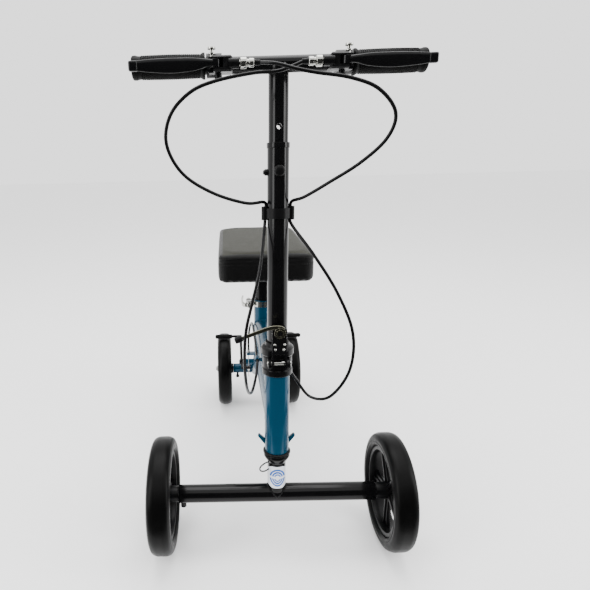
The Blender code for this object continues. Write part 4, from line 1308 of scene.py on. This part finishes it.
@dataclass
class Stem:
    """The folding stem: its foot, tube, height knob and cable clip."""

    radius: float = 0.0159
    bore: float = 0.0146
    low: float = 0.2683
    high: float = 0.5836
    knob_h: float = 0.5446
    latch_pivot: tuple[float, float] = (-0.0255, 0.3050)

    def tube(self) -> None:
        """The tube with its top collar, the latch's ears, the knob's boss and a side stop."""
        shape = Shape(COLUMN).pipe((0, 0, self.low), (0, 0, self.high - 0.004), self.radius, self.bore, 96)
        shape.pipe((0, 0, self.high - 0.0075), (0, 0, self.high), self.radius + 0.0009, self.bore, 96)
        y, h = self.latch_pivot
        for side in Side:
            s = side.value
            ear = [(s * 0.0074, y), (s * 0.0106, y), (s * 0.0106, -0.0113), (s * 0.0074, -0.0131)]
            shape.slab(ear, 0.2990, 0.3110)
            shape.bar((s * 0.0073, y, h), (s * 0.0108, y, h), 0.0060)
        shape.bar((-0.0090, y, h), (0.0090, y, h), 0.0025)
        knob = self.knob_h
        shape.pipe((0, -0.0150, knob), (0, -0.0190, knob), 0.0068, 0.0040)
        shape.bar((-0.0150, 0, knob - 0.002), (-0.0200, 0, knob - 0.002), 0.0048)
        shape.bar((-0.0195, 0, knob - 0.002), (-0.0224, 0, knob - 0.002), 0.0040, 0.0026, 0.0008)
        piece("stem_tube_enamelled", shape.mesh("stem_tube"), BLACK, "stem", ["stem_tube"])

    def knob(self) -> None:
        """The domed knob, with grip flutes round its edge."""
        start = Vector((0, -0.0193, self.knob_h))
        dome = [(0, 0), (0.0074, 0), (0.0080, 0.0010), (0.0080, 0.0028), (0.0066, 0.0048), (0.0036, 0.0060)]
        dome += [(0, 0.0063)]
        shape = Shape(COLUMN).turned(rounded(dome, 0.0012), start, (0, -1, 0))
        shape.bar(start, (0, -0.0149, self.knob_h), 0.0036)
        piece("height_knob_moulded", shape.mesh("height_knob"), PLASTIC, "height_knob", ["height_knob"])
        turn = COLUMN.to_3x3()
        spots = []
        for k in range(18):
            angle = 2 * math.pi * k / 18
            way = Vector((math.cos(angle), 0, math.sin(angle)))
            spots.append((COLUMN @ (start + Vector((0, -0.0020, 0)) + way * 0.0079), turn @ way))
        studs("height_knob_flutes", spots, 0.0008, 0.0005, PLASTIC, "height_knob")

    def build(self) -> None:
        """Makes the stem's pieces."""
        self.tube()
        self.knob()
        refined("stem_foot", CAST, "stem", 0.0007)
        refined("cable_clip", PLASTIC, "stem", 0.0006)


@dataclass
class FoldLatch:
    """The draw hook and its cam lever."""

    pivot: tuple[float, float] = (-0.0405, 0.3070)
    ring: float = 0.0088

    def hook(self) -> None:
        """The hook with the heads of its rivets."""
        refined("latch_hook", CAST, "latch", 0.0006)
        turn = COLUMN.to_3x3()
        rivets = [(x, h) for h, across in ((0.2790, 0.0065), (0.2870, 0.0075)) for x in (-across, across)]
        spots = [(column_point(x, -0.0367, h), turn @ Vector((0, -1, 0))) for x, h in rivets]
        studs("latch_rivets", spots, 0.0026, 0.0017, CHROME, "latch")

    def lever(self) -> None:
        """The bright ring and arm, and the moulded tip."""
        y, h = self.pivot
        shape = Shape(COLUMN).pipe((0, y + 0.0021, h), (0, y - 0.0023, h), self.ring, 0.0034)
        shape.pipe((0, y - 0.0020, h), (0, y - 0.0030, h), 0.0058, 0.0034)
        path = [(0.0062, 0.3125), (0.0010, 0.3152), (-0.0070, 0.3160), (-0.0180, 0.3145)]
        path += [(-0.0320, 0.3095), (-0.0470, 0.3040), (-0.0600, 0.2990)]
        halves = [(0.0015, 0.0030), (0.0017, 0.0034), (0.0017, 0.0034), (0.0017, 0.0031)]
        halves += [(0.0017, 0.0030), (0.0017, 0.0030), (0.0016, 0.0027)]
        shape.blade([(x, y, far) for x, far in path], halves, (0, 0, 1), squareness=4)
        piece("fold_lever_bright", shape.mesh("fold_lever"), SMOKED, "fold_lever", ["fold_lever"])
        tip = Shape(COLUMN).bar((-0.0572, y, 0.3004), (-0.0687, y, 0.2957), 0.0052, 0.0050, 0.0022)
        piece("fold_lever_tip_moulded", tip.mesh("tip"), PLASTIC, "fold_lever", ["fold_lever_tip"])

    def build(self) -> None:
        """Makes the latch's pieces."""
        self.hook()
        self.lever()


# --- Handlebar ------------------------------------------------------------------------------


@dataclass
class Handlebar:
    """The sliding post and crossbar with the grips, brake levers, lock pins and adjusters."""

    grip_start: float = 0.1025
    grip_end: float = 0.2042
    lever_pivot: tuple[float, float] = (0.0880, -0.0300)
    lock_pin: tuple[float, float] = (0.0925, -0.0190)
    adjuster: tuple[float, float] = (-0.0330, 0.6835)

    def grip(self, side: Side) -> None:
        """One grip: a flanged sleeve with rows of small knurls."""
        start, end, s = self.grip_start, self.grip_end, side.value
        outline = [(BAR_RADIUS + GAP, start), (0.0172, start), (0.0172, start + 0.0032)]
        outline += [(0.0150, start + 0.0060), (0.0156, start + 0.045), (0.0148, end - 0.0120)]
        outline += [(0.0150, end - 0.0085), (0.0160, end - 0.0060), (0.0158, end - 0.0015), (0.0140, end)]
        outline += [(0, end), (0, BAR_HALF + GAP), (BAR_RADIUS + GAP, BAR_HALF + GAP)]
        shape = Shape(COLUMN).turned(rounded(outline, 0.0012), (0, 0, BAR_H), (s, 0, 0), 72)
        label = side.label
        piece(f"grip_{label}_sleeve", shape.mesh(f"grip_{label}"), GRIP, "handlebar", [f"grip_{label}"])
        turn, spots, around = COLUMN.to_3x3(), [], 34
        rows = int((end - start - 0.020) / 0.0029)
        for row in range(rows):
            x = start + 0.0090 + row * 0.0029
            swell = 0.0150 + 0.0006 * math.sin(math.pi * row / rows)
            for k in range(around):
                angle = 2 * math.pi * (k + 0.5 * (row % 2)) / around
                way = Vector((0, math.cos(angle), math.sin(angle)))
                spots.append((COLUMN @ (Vector((s * x, 0, BAR_H)) + way * swell), turn @ way))
        studs(f"grip_{label}_knurls", spots, 0.0011, 0.0007, GRIP, "handlebar")

    def lever(self, side: Side) -> None:
        """One brake lever: a broad curved blade with a square end."""
        s, label = side.value, side.label
        x0, y0 = self.lever_pivot
        path = [(0.0885, -0.0330, 0.6840), (0.0990, -0.0372, 0.6840), (0.1150, -0.0404, 0.6822)]
        path += [(0.1420, -0.0436, 0.6806), (0.1700, -0.0467, 0.6804), (0.1920, -0.0500, 0.6803)]
        halves = [(0.0034, 0.0048), (0.0032, 0.0050), (0.0024, 0.0078), (0.0022, 0.0092)]
        halves += [(0.0021, 0.0082), (0.0022, 0.0062)]
        shape = Shape(COLUMN).blade([(s * x, y, h) for x, y, h in path], halves, (0, 0, 1), 8, 24)
        shape.pipe((s * x0, y0, 0.6790), (s * x0, y0, 0.6890), 0.0078, 0.0033)
        shape.block((s * 0.1890, -0.0535, 0.6735), (s * 0.2010, -0.0465, 0.6865), 0.0024)
        piece(
            f"brake_lever_{label}_blade",
            shape.mesh("lever"),
            BLACK,
            f"brake_lever_{label}",
            [f"brake_lever_{label}"],
        )

    def fittings(self, side: Side) -> None:
        """One bracket with its lock pin, adjuster and bolt."""
        s, label = side.value, side.label
        refined(f"lever_bracket_{label}", CAST, "handlebar", 0.0006)
        x, y = self.lock_pin
        stud = [(0, 0.6885), (0.0022, 0.6885), (0.0022, 0.6976), (0.0045, 0.6976), (0.0045, 0.6994)]
        stud += [(0.0024, 0.7003), (0.0024, 0.7035), (0.0056, 0.7041), (0.0052, 0.7068), (0, 0.7071)]
        pin = Shape(COLUMN).turned(rounded(stud, 0.0004), (s * x, y, 0), sides=40)
        name = f"lock_pin_{label}"
        piece(f"{name}_bright", pin.mesh(name), CHROME, name, [name])
        y, h = self.adjuster
        barrel = [(0, 0.0362), (0.0050, 0.0362), (0.0058, 0.0370), (0.0058, 0.0425), (0.0048, 0.0432)]
        barrel += [(0.0048, 0.0452), (0.0058, 0.0459), (0.0074, 0.0468), (0.0074, 0.0540)]
        barrel += [(0.0040, 0.0546), (0.0040, 0.0557), (0, 0.0557)]
        shape = Shape(COLUMN).turned(rounded(barrel, 0.0003), (0, y, h), (s, 0, 0), 12)
        name = f"cable_adjuster_{label}"
        piece(f"{name}_bright", shape.mesh(name), CHROME, name, [name])

    def build(self) -> None:
        """Makes the handlebar's pieces."""
        refined("handlebar_post", BLACK, "handlebar", 0.0003)
        shape = Shape(COLUMN).bar((-BAR_HALF, 0, BAR_H), (BAR_HALF, 0, BAR_H), BAR_RADIUS, sides=96)
        piece("crossbar_enamelled", shape.mesh("crossbar"), BLACK, "handlebar", ["crossbar"])
        for side in Side:
            self.grip(side)
            self.lever(side)
            self.fittings(side)


# --- Seat -----------------------------------------------------------------------------------


@dataclass
class KneePad:
    """The foam pad: a swollen vinyl cover with a top panel, sewn side bands and stitches. The top panel is
    painted paler as lit, and the side bands darker as shaded.
    """

    width: float = 0.181
    length: float = 0.351
    low: float = 0.4376
    high: float = 0.489
    corner: float = 0.020
    inset: float = 0.0010
    voxel: float = 0.0040
    swell: float = 0.0050
    evenings: int = 30
    # Width of the darker painted-shade band round the edge of the top panel.
    border: float = 0.0095
    seams: tuple[float, float] = (0.4805, 0.4735)

    def outline(self, grow: float, corner: float, steps: int = 10) -> list[tuple[float, float]]:
        """The pad's plan with round corners, grown outwards by grow."""
        half_x, half_y = self.width / 2 + grow, self.length / 2 + grow
        points = []
        for sx, sy, first in ((1, 1, 0), (-1, 1, 90), (-1, -1, 180), (1, -1, 270)):
            for k in range(steps + 1):
                turn = math.radians(first + 90 * k / steps)
                points.append(
                    (
                        PAD_X + sx * (half_x - corner) + corner * math.cos(turn),
                        PAD_Y + sy * (half_y - corner) + corner * math.sin(turn),
                    )
                )
        return points

    def block(self) -> bpy.types.Object:
        """The foam block before it swells, remeshed evenly."""
        plan = self.outline(-self.inset, self.corner)
        shape = Shape().slab(plan, self.low, self.high - 0.0012, edge=0.0030)
        foam = bpy.data.objects.new("foam", shape.mesh("foam"))
        bpy.context.scene.collection.objects.link(foam)
        remesh = foam.modifiers.new("even", "REMESH")
        remesh.mode, remesh.voxel_size = "VOXEL", self.voxel
        even = bpy.data.meshes.new_from_object(
            foam.evaluated_get(bpy.context.evaluated_depsgraph_get())
        )
        bpy.data.objects.remove(foam)
        swollen = bpy.data.objects.new("swollen", even)
        bpy.context.scene.collection.objects.link(swollen)
        return swollen

    def inflate(self, pad: bpy.types.Object) -> None:
        """Swells the cover with a short cloth simulation and caps how far it moves.

        Args:
            pad: The remeshed block, whose mesh is changed.
        """
        scene = bpy.context.scene
        rest = [v.co.copy() for v in pad.data.vertices]
        outwards = [v.normal.copy() for v in pad.data.vertices]
        pinned = pad.vertex_groups.new(name="base")
        base = [i for i, spot in enumerate(rest) if spot.z < self.low + 0.004]
        pinned.add(base, 1.0, "REPLACE")
        cloth = pad.modifiers.new("swell", "CLOTH")
        cloth.settings.use_pressure = True
        cloth.settings.uniform_pressure_force = 4.0
        cloth.settings.effector_weights.gravity = 0.0
        cloth.settings.vertex_group_mass = pinned.name
        cloth.settings.tension_stiffness = cloth.settings.compression_stiffness = 40.0
        cloth.settings.bending_stiffness = 1.5
        cloth.point_cache.frame_start, cloth.point_cache.frame_end = 1, 20
        for step in range(1, 21):
            scene.frame_set(step)
        moved = pad.evaluated_get(bpy.context.evaluated_depsgraph_get()).to_mesh()
        swelling = [(v.co - spot).dot(way) for v, spot, way in zip(moved.vertices, rest, outwards)]
        shifts = [way * max(0.0, far) for way, far in zip(outwards, swelling)]
        pad.modifiers.remove(cloth)
        shifts = self.evened(pad.data, shifts)
        for vertex, spot, shift in zip(pad.data.vertices, rest, shifts):
            if shift.length > self.swell:
                shift = shift.normalized() * self.swell
            vertex.co = spot + shift
        scene.frame_set(1)

    def evened(self, mesh: bpy.types.Mesh, shifts: list[Vector]) -> list[Vector]:
        """Evens out the creases in how far each point moved.

        Args:
            mesh: The cover, for what is joined to what.
            shifts: How far each of its points moved.

        Returns:
            The shifts, each averaged with its neighbours' several times.
        """
        for _ in range(self.evenings):
            sums = [shift.copy() for shift in shifts]
            counts = [1] * len(shifts)
            for edge in mesh.edges:
                a, b = edge.vertices
                sums[a] += shifts[b]
                sums[b] += shifts[a]
                counts[a] += 1
                counts[b] += 1
            shifts = [total / count for total, count in zip(sums, counts)]
        return shifts

    def shaped(self, pad: bpy.types.Object) -> None:
        """Adds a subdivision, keeps the cover in its space and pulls the seams in."""
        calm = pad.modifiers.new("calm", "SMOOTH")
        calm.factor, calm.iterations = 0.5, 5
        soften = pad.modifiers.new("soften", "SUBSURF")
        soften.levels = soften.render_levels = 1
        fine = bpy.data.meshes.new_from_object(
            pad.evaluated_get(bpy.context.evaluated_depsgraph_get())
        )
        pad.modifiers.clear()
        pad.data = fine
        middle = Vector((PAD_X, PAD_Y, 0))
        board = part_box("seat_board")
        under = board[1][2] + 0.0003
        for vertex in fine.vertices:
            spot = vertex.co
            spot.z = min(max(spot.z, self.low), self.high + 0.004)
            inside = all(board[0][k] - 0.0012 < spot[k] < board[1][k] + 0.0012 for k in (0, 1))
            if inside and spot.z < under:
                spot.z = under
            elif spot.z < self.low + 0.004:
                spot.z += 0.0009 * (math.sin(spot.x * 410) + math.sin(spot.y * 370 + 1.3))
                spot.z = max(spot.z, self.low)
            out = Vector((spot.x, spot.y, 0)) - middle
            pull = sum(math.exp(-(((spot.z - z) / 0.0011) ** 2)) for z in self.seams)
            across = abs(out.x) / (self.width / 2), abs(out.y) / (self.length / 2)
            if max(across) > 0.8:
                spot -= out.normalized() * 0.0011 * pull
        fine.shade_smooth()

    def painted_light_panels(self, mesh: bpy.types.Mesh) -> None:
        """Paints light and shade on the cover: a paler copy of the vinyl on the top panel as painted light,
        and a darker copy on the side bands and a border round the top as painted shade.
        """
        mesh.materials.clear()
        mesh.materials.append(PAD_SIDE_PAINTED_SHADE.material())
        mesh.materials.append(PAD_TOP_PAINTED_LIT.material())
        reach = (self.width / 2 - self.border, self.length / 2 - self.border)
        for face in mesh.polygons:
            x, y, z = face.center
            inner = abs(x - PAD_X) < reach[0] and abs(y - PAD_Y) < reach[1]
            face.material_index = int(inner and z > self.high - 0.0060)

    def stitched(self, mesh: bpy.types.Mesh) -> None:
        """Sews stitches on the cover beside each seam.

        Args:
            mesh: The finished cover, in the world.
        """
        corners = [tuple(face.vertices) for face in mesh.polygons]
        tree = BVHTree.FromPolygons([v.co for v in mesh.vertices], corners)
        lines = []
        for z in (self.seams[0] + 0.0022, self.seams[1] - 0.0022):
            line = []
            for x, y in self.outline(0.004, self.corner + 0.002, 16):
                spot, normal, _, _ = tree.find_nearest(Vector((x, y, z)))
                line.append(Vector((spot.x, spot.y, z)) + Vector((normal.x, normal.y, 0)) * 0.0002)
            lines.append(line)
        spaced = [resampled(line, 0.0045) for line in lines]
        beads("knee_pad_stitches", spaced, 0.0005, 0.0032, 0.0045, THREAD, "seat")

    def build(self) -> None:
        """Makes the pad."""
        pad = self.block()
        self.inflate(pad)
        self.shaped(pad)
        mesh = pad.data
        bpy.data.objects.remove(pad)
        self.painted_light_panels(mesh)
        cushion = piece("knee_pad_cushion", mesh, PAD_TOP_PAINTED_LIT, "seat", ["knee_pad"])
        self.stitched(mesh)


@dataclass
class Seat:
    """The seat post with its plate, the board under the pad and the quick clamp."""

    post_radius: float = 0.0170
    post_low: float = 0.2310
    post_high: float = 0.4320
    skewer_x: float = -0.0305
    clamp_z: float = 0.347

    def post(self) -> None:
        """The post, its plate and the plate's bolts."""
        y = SEAT_TUBE_Y
        shape = Shape().bar((0, y, self.post_low), (0, y, self.post_high), self.post_radius, sides=96)
        shape.block((-0.0450, y - 0.065, 0.4310), (0.0450, y + 0.065, 0.4352), 0.0012)
        piece("seat_post_enamelled", shape.mesh("seat_post"), BLACK, "seat", ["seat_post"])
        ring = [
            (0.0176 * math.cos(t), y + 0.0176 * math.sin(t), 0.4303)
            for t in (2 * math.pi * k / 64 for k in range(64))
        ]
        beads("seat_post_weld", [ring], 0.0015, 0.0030, 0.0018, BLACK, "seat")
        corners = [(x, far) for x in (-0.033, 0.033) for far in (-0.05, 0.05)]
        bolts = [(Vector((x, y + far, 0.4309)), Vector((0, 0, -1))) for x, far in corners]
        studs("seat_plate_bolts", bolts, 0.0058, 0.0030, ZINC, "seat")
        refined("seat_board", BOARD, "seat", 0.0010)

    def clamp(self) -> None:
        """The bright clamp, its skewer and its curved lever."""
        refined("seat_clamp", CHROME, "frame", 0.0005)
        refined("seat_skewer", ZINC, "frame", 0.0003)
        x, y, z = self.skewer_x, SEAT_TUBE_Y - 0.0185, self.clamp_z
        path = [(-0.0050, -0.0010), (-0.0085, -0.0025), (-0.0135, 0.0055), (-0.0150, 0.0235)]
        path += [(-0.0145, 0.0435), (-0.0123, 0.0615)]
        halves = [(0.0028, 0.0044), (0.0028, 0.0045), (0.0025, 0.0045), (0.0020, 0.0045), (0.0020, 0.0044)]
        halves += [(0.0020, 0.0040)]
        shape = Shape().blade([(x + a, y + b, z) for a, b in path], halves, (0, 0, 1), squareness=4)
        for low, high in ((z - 0.0055, z - 0.0032), (z + 0.0032, z + 0.0055)):
            shape.pipe((x, y, low), (x, y, high), 0.0056, 0.0029, 40)
        body = "seat_clamp_lever"
        piece("seat_clamp_lever_bright", shape.mesh("clamp_lever"), CHROME, body, [body])

    def build(self) -> None:
        """Makes the seat's pieces."""
        self.post()
        self.clamp()
        KneePad().build()


# --- Brakes and cables ----------------------------------------------------------------------


@dataclass
class RearBrakes:
    """The bent arms that press a ribbed rubber pad on each rear tyre."""

    bar_y: float = REAR_AXLE.y - 0.0225
    bar_z: float = REAR_AXLE.z + 0.1027
    pad_start: float = 0.0690
    pad_end: float = 0.1120

    def build(self) -> None:
        """Makes each arm and its pad."""
        for side in Side:
            s, label = side.value, side.label
            body = f"brake_arm_{label}"
            refined(body, CAST, body, 0.0005)
            outline = [(0.0041, 0.0), (0.0054, 0.0)]
            ribs = 8
            step = (self.pad_end - self.pad_start) / ribs
            for k in range(ribs):
                far = step * k
                outline += [(0.0057, far + 0.0006), (0.0057, far + step - 0.0010)]
                outline.append((0.0051, far + step - 0.0004))
            outline += [(0.0041, self.pad_end - self.pad_start)]
            shape = Shape().turned(
                rounded(outline, 0.0003, 2), (s * self.pad_start, self.bar_y, self.bar_z), (s, 0, 0), 48
            )
            piece(f"brake_pad_{label}_ribbed", shape.mesh("pad"), GRIP, body, [f"brake_pad_{label}"])


def from_front(*points: Point) -> list[Vector]:
    """Points given with y from the front axle, in the world."""
    return [Vector((x, y + FRONT_AXLE.y, z)) for x, y, z in points]


@dataclass
class Cables:
    """The two brake cables, each in the stretches between what holds them."""

    adjuster: tuple[float, float] = (-0.0330, 0.6835)

    def start(self, side: Side) -> list[Vector]:
        """The straight start of a cable inside its adjuster."""
        y, h = self.adjuster
        return [column_point(side.value * x, y, h) for x in (0.0364, 0.0300)]

    @staticmethod
    def clip(side: Side, above: float, below: float) -> list[Vector]:
        """Two points where a cable passes the clip on the stem's side."""
        return [column_point(side.value * CLIP_X, 0, CLIP_H + far) for far in (above, below)]

    def upper(self) -> None:
        """The stretches from the adjusters, across each other, to the clip."""
        right = from_front((0.0120, -0.0060, 0.7765), (-0.0080, -0.0090, 0.7710), (-0.0370, -0.0180, 0.7690))
        right += from_front((-0.0870, -0.0320, 0.7590), (-0.1210, -0.0400, 0.7450), (-0.1470, -0.0450, 0.7180))
        right += from_front((-0.1540, -0.0450, 0.6820), (-0.1350, -0.0350, 0.6440), (-0.0950, -0.0150, 0.6160))
        right += from_front((-0.0480, 0.0070, 0.5990))
        left = from_front((-0.0080, -0.0140, 0.7800), (0.0180, -0.0220, 0.7720), (0.0440, -0.0270, 0.7660))
        left += from_front((0.0850, -0.0360, 0.7580), (0.1200, -0.0440, 0.7430), (0.1420, -0.0490, 0.7140))
        left += from_front((0.1350, -0.0440, 0.6830), (0.1060, -0.0300, 0.6530), (0.0700, -0.0130, 0.6280))
        left += from_front((0.0370, 0.0070, 0.6060))
        for side, away, middle in ((Side.RIGHT, Side.LEFT, right), (Side.LEFT, Side.RIGHT, left)):
            route = [*self.start(side), *middle, *self.clip(away, 0.0160, 0.0002)]
            name = f"cable_upper_{side.label}"
            made = piece(
                f"{name}_jacket", cord_mesh(eased(route, 8), CABLE_RADIUS, JACKET), JACKET, None, [name]
            )
            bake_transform(made)
            boot = Shape().bar(route[0], route[1] + (route[1] - route[0]) * 0.4, 0.0040, 0.0032, 0.0005)
            piece(f"{name}_boot", boot.mesh("boot"), PLASTIC, "handlebar")

    def loops(self) -> None:
        """The free loops from the clip to the guides on the frame."""
        run = (CABLE_RUN.x, CABLE_RUN.z)
        right = from_front((0.0500, -0.0050, 0.5240), (0.0840, -0.0250, 0.4690), (0.1080, -0.0350, 0.4080))
        right += from_front((0.1090, -0.0250, 0.3420), (0.0850, -0.0050, 0.2870), (0.0560, 0.0150, 0.2770))
        right += from_front((0.0360, 0.0420, 0.2960), (0.0265, 0.0850, 0.3000))
        left = from_front((-0.0290, -0.0150, 0.5070), (-0.0430, -0.0350, 0.4560), (-0.0520, -0.0450, 0.4200))
        left += from_front((-0.0545, -0.0350, 0.3760), (-0.0520, -0.0100, 0.3200), (-0.0460, 0.0300, 0.2790))
        left += from_front((-0.0380, 0.0650, 0.2640), (-0.0295, 0.0930, 0.2800))
        for side, middle, split in ((Side.RIGHT, right, 6), (Side.LEFT, left, 7)):
            s = side.value
            ends = from_front(*((s * run[0], y, run[1]) for y in (0.1190, 0.1250, 0.1295)))
            route = [*self.clip(side, -0.0002, -0.0160), *middle, *ends]
            line, cut = eased(route, 8), split * 8
            name = f"cable_loop_{side.label}"
            high = piece(
                f"{name}_high", cord_mesh(line[: cut + 1], CABLE_RADIUS, JACKET), JACKET, None, [name]
            )
            line[cut - 2]
            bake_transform(high)
            low = piece(f"{name}_low", cord_mesh(line[cut:], CABLE_RADIUS, JACKET), JACKET, None)
            line[cut + 2]
            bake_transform(low)

    def rear(self) -> None:
        """The stretches along the frame to the cable stop, and the bare wires below it."""
        stop = CABLE_STOP
        for side in Side:
            s = side.value
            route = from_front(
                *((s * CABLE_RUN.x, y, CABLE_RUN.z) for y in (0.1297, 0.1350, 0.1410)),
                (s * 0.0245, 0.1800, 0.3010),
                (s * 0.0240, 0.2600, 0.3040),
                (s * 0.0245, 0.3300, 0.2990),
                (s * 0.0265, 0.3800, 0.2720),
                (s * stop.x, 0.4150, 0.2310),
            )
            route += [Vector((s * stop.x, stop.y, z)) for z in (0.1960, 0.1880)]
            name = f"cable_rear_{side.label}"
            jacket = cord_mesh(eased(route, 8), CABLE_RADIUS, JACKET)
            piece(f"{name}_jacket", jacket, JACKET, "frame", [name])
            low, high = (s * stop.x, stop.y, 0.1862), (s * stop.x, stop.y, 0.1960)
            shape = Shape().bar(low, high, 0.0034, edge=0.0006)
            shape.bar((s * stop.x, stop.y, 0.1205), (s * stop.x, stop.y, 0.1880), 0.0008, sides=12)
            piece(f"{name}_wire", shape.mesh("wire"), ZINC, "frame")
            clamp = Shape().bar((s * stop.x, stop.y, 0.1385), (s * stop.x, stop.y, 0.1431), 0.0034)
            piece(f"{name}_nipple", clamp.mesh("nipple"), CHROME, f"brake_arm_{side.label}")

    def build(self) -> None:
        """Makes the cables."""
        self.upper()
        self.loops()
        self.rear()


# --- Studio ---------------------------------------------------------------------------------


@dataclass
class Studio:
    """The floor, the soft lights and the camera."""

    place: tuple[float, float, float] = (-0.0784, -0.99035, 0.6719)
    ahead: tuple[float, float, float] = (-0.0128, 0.9517, -0.3066)
    roll: float = math.radians(-1.527)
    lens: float = 30.03
    shift: tuple[float, float] = (0.1245, 0.0256)

    def camera(self) -> None:
        """The camera at the height and tilt the scooter is seen from."""
        data = bpy.data.cameras.new("camera")
        data.lens, data.sensor_width = self.lens, 36.0
        data.shift_x, data.shift_y = self.shift
        made = bpy.data.objects.new("camera", data)
        ahead = Vector(self.ahead).normalized()
        right = ahead.cross(Vector((0, 0, 1))).normalized()
        up = right.cross(ahead)
        turned_right = right * math.cos(self.roll) + up * math.sin(self.roll)
        turned_up = up * math.cos(self.roll) - right * math.sin(self.roll)
        turn = Matrix((turned_right, turned_up, -ahead)).transposed().to_4x4()
        made.matrix_world = Matrix.Translation(self.place) @ turn
        bpy.context.scene.collection.objects.link(made)
        bpy.context.scene.camera = made

    def light(self, name: str, place: Point, size: tuple[float, float], power: float) -> None:
        """A soft rectangular light that faces the scooter's middle."""
        data = bpy.data.lights.new(name, "AREA")
        data.shape, data.size, data.size_y = "RECTANGLE", size[0], size[1]
        data.energy = power
        made = bpy.data.objects.new(name, data)
        made.location = place
        made.rotation_euler = (Vector((0, 0, 0.4)) - Vector(place)).to_track_quat("-Z", "Y").to_euler()
        bpy.context.scene.collection.objects.link(made)

    def floor(self) -> None:
        """A plain pale floor."""
        form = bmesh.new()
        bmesh.ops.create_grid(form, x_segments=1, y_segments=1, size=12)
        mesh = bpy.data.meshes.new("floor")
        form.to_mesh(mesh)
        form.free()
        made = bpy.data.objects.new("floor", mesh)
        made.location.z = CAD_BOX[0][2] - 0.0002
        bpy.context.scene.collection.objects.link(made)
        material = bpy.data.materials.new("pale_floor")
        material.use_nodes = True
        shader = material.node_tree.nodes["Principled BSDF"]
        shader.inputs["Base Color"].default_value = (0.93, 0.93, 0.93, 1)
        shader.inputs["Roughness"].default_value = 0.85
        mesh.materials.append(material)

    def flag(self) -> None:
        """A dark curved screen with a dark carpet before it, seen in the glossy parts only."""
        form = bmesh.new()
        rows = []
        for k in range(25):
            turn = math.radians(-62 + 124 * k / 24)
            x, y = 3.2 * math.sin(turn), -3.2 * math.cos(turn)
            spots = ((x * 0.3, -0.45, 0.01), (x, y, 0.01), (x, y, 2.4))
            rows.append([form.verts.new(spot) for spot in spots])
        for (a, b, c), (d, e, f) in zip(rows, rows[1:]):
            form.faces.new((a, b, e, d))
            form.faces.new((b, c, f, e))
        mesh = bpy.data.meshes.new("flag")
        form.to_mesh(mesh)
        form.free()
        made = bpy.data.objects.new("flag", mesh)
        bpy.context.scene.collection.objects.link(made)
        made.visible_camera = made.visible_diffuse = made.visible_shadow = False
        material = bpy.data.materials.new("flag_felt")
        material.use_nodes = True
        shader = material.node_tree.nodes["Principled BSDF"]
        shader.inputs["Base Color"].default_value = (0.01, 0.01, 0.01, 1)
        shader.inputs["Roughness"].default_value = 0.9
        mesh.materials.append(material)

    def build(self) -> None:
        """Sets the studio up."""
        world = bpy.data.worlds.new("studio")
        world.use_nodes = True
        sky = world.node_tree.nodes["Background"]
        sky.inputs["Color"].default_value = (1, 1, 1, 1)
        sky.inputs["Strength"].default_value = 1.9
        bpy.context.scene.world = world
        self.floor()
        self.flag()
        self.light("left_softbox", (-2.2, -1.6, 1.5), (1.0, 2.4), 55)
        self.light("right_softbox", (2.3, -0.8, 1.3), (0.7, 2.2), 38)
        self.light("top_softbox", (0.0, 0.2, 2.8), (2.0, 2.0), 60)
        self.camera()


def main() -> None:
    """Builds the scooter and its studio."""
    logging.basicConfig(level=logging.INFO, format="%(name)s %(message)s")
    Studio().build()
    front_x, rear_x = 0.1975, 0.0898
    for side in Side:
        hub = FRONT_AXLE + Vector((side.value * front_x, 0, 0))
        Wheel(f"front_{side.label}", hub, 0.099, 0.0386, front_x - 0.1715 - 2 * GAP, 0.0105, side).build()
        hub = REAR_AXLE + Vector((side.value * rear_x, 0, 0))
        Wheel(f"rear_{side.label}", hub, 0.0975, 0.0364, rear_x - 0.066 - 2 * GAP, 0.0178, side).build()
    AxleRod("front_axle_rod", "fork", FRONT_AXLE, 0.2160, 0.2085, 0.006).build()
    AxleRod("rear_axle_rod", "frame", REAR_AXLE, 0.1150, 0.1081, 0.005).build()
    assemblies = (WeldedFrame, Fork, Stem, FoldLatch, Handlebar, Seat, RearBrakes, Cables)
    for assembly in assemblies:
        assembly().build()
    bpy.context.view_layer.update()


if __name__ == "__main__":
    main()
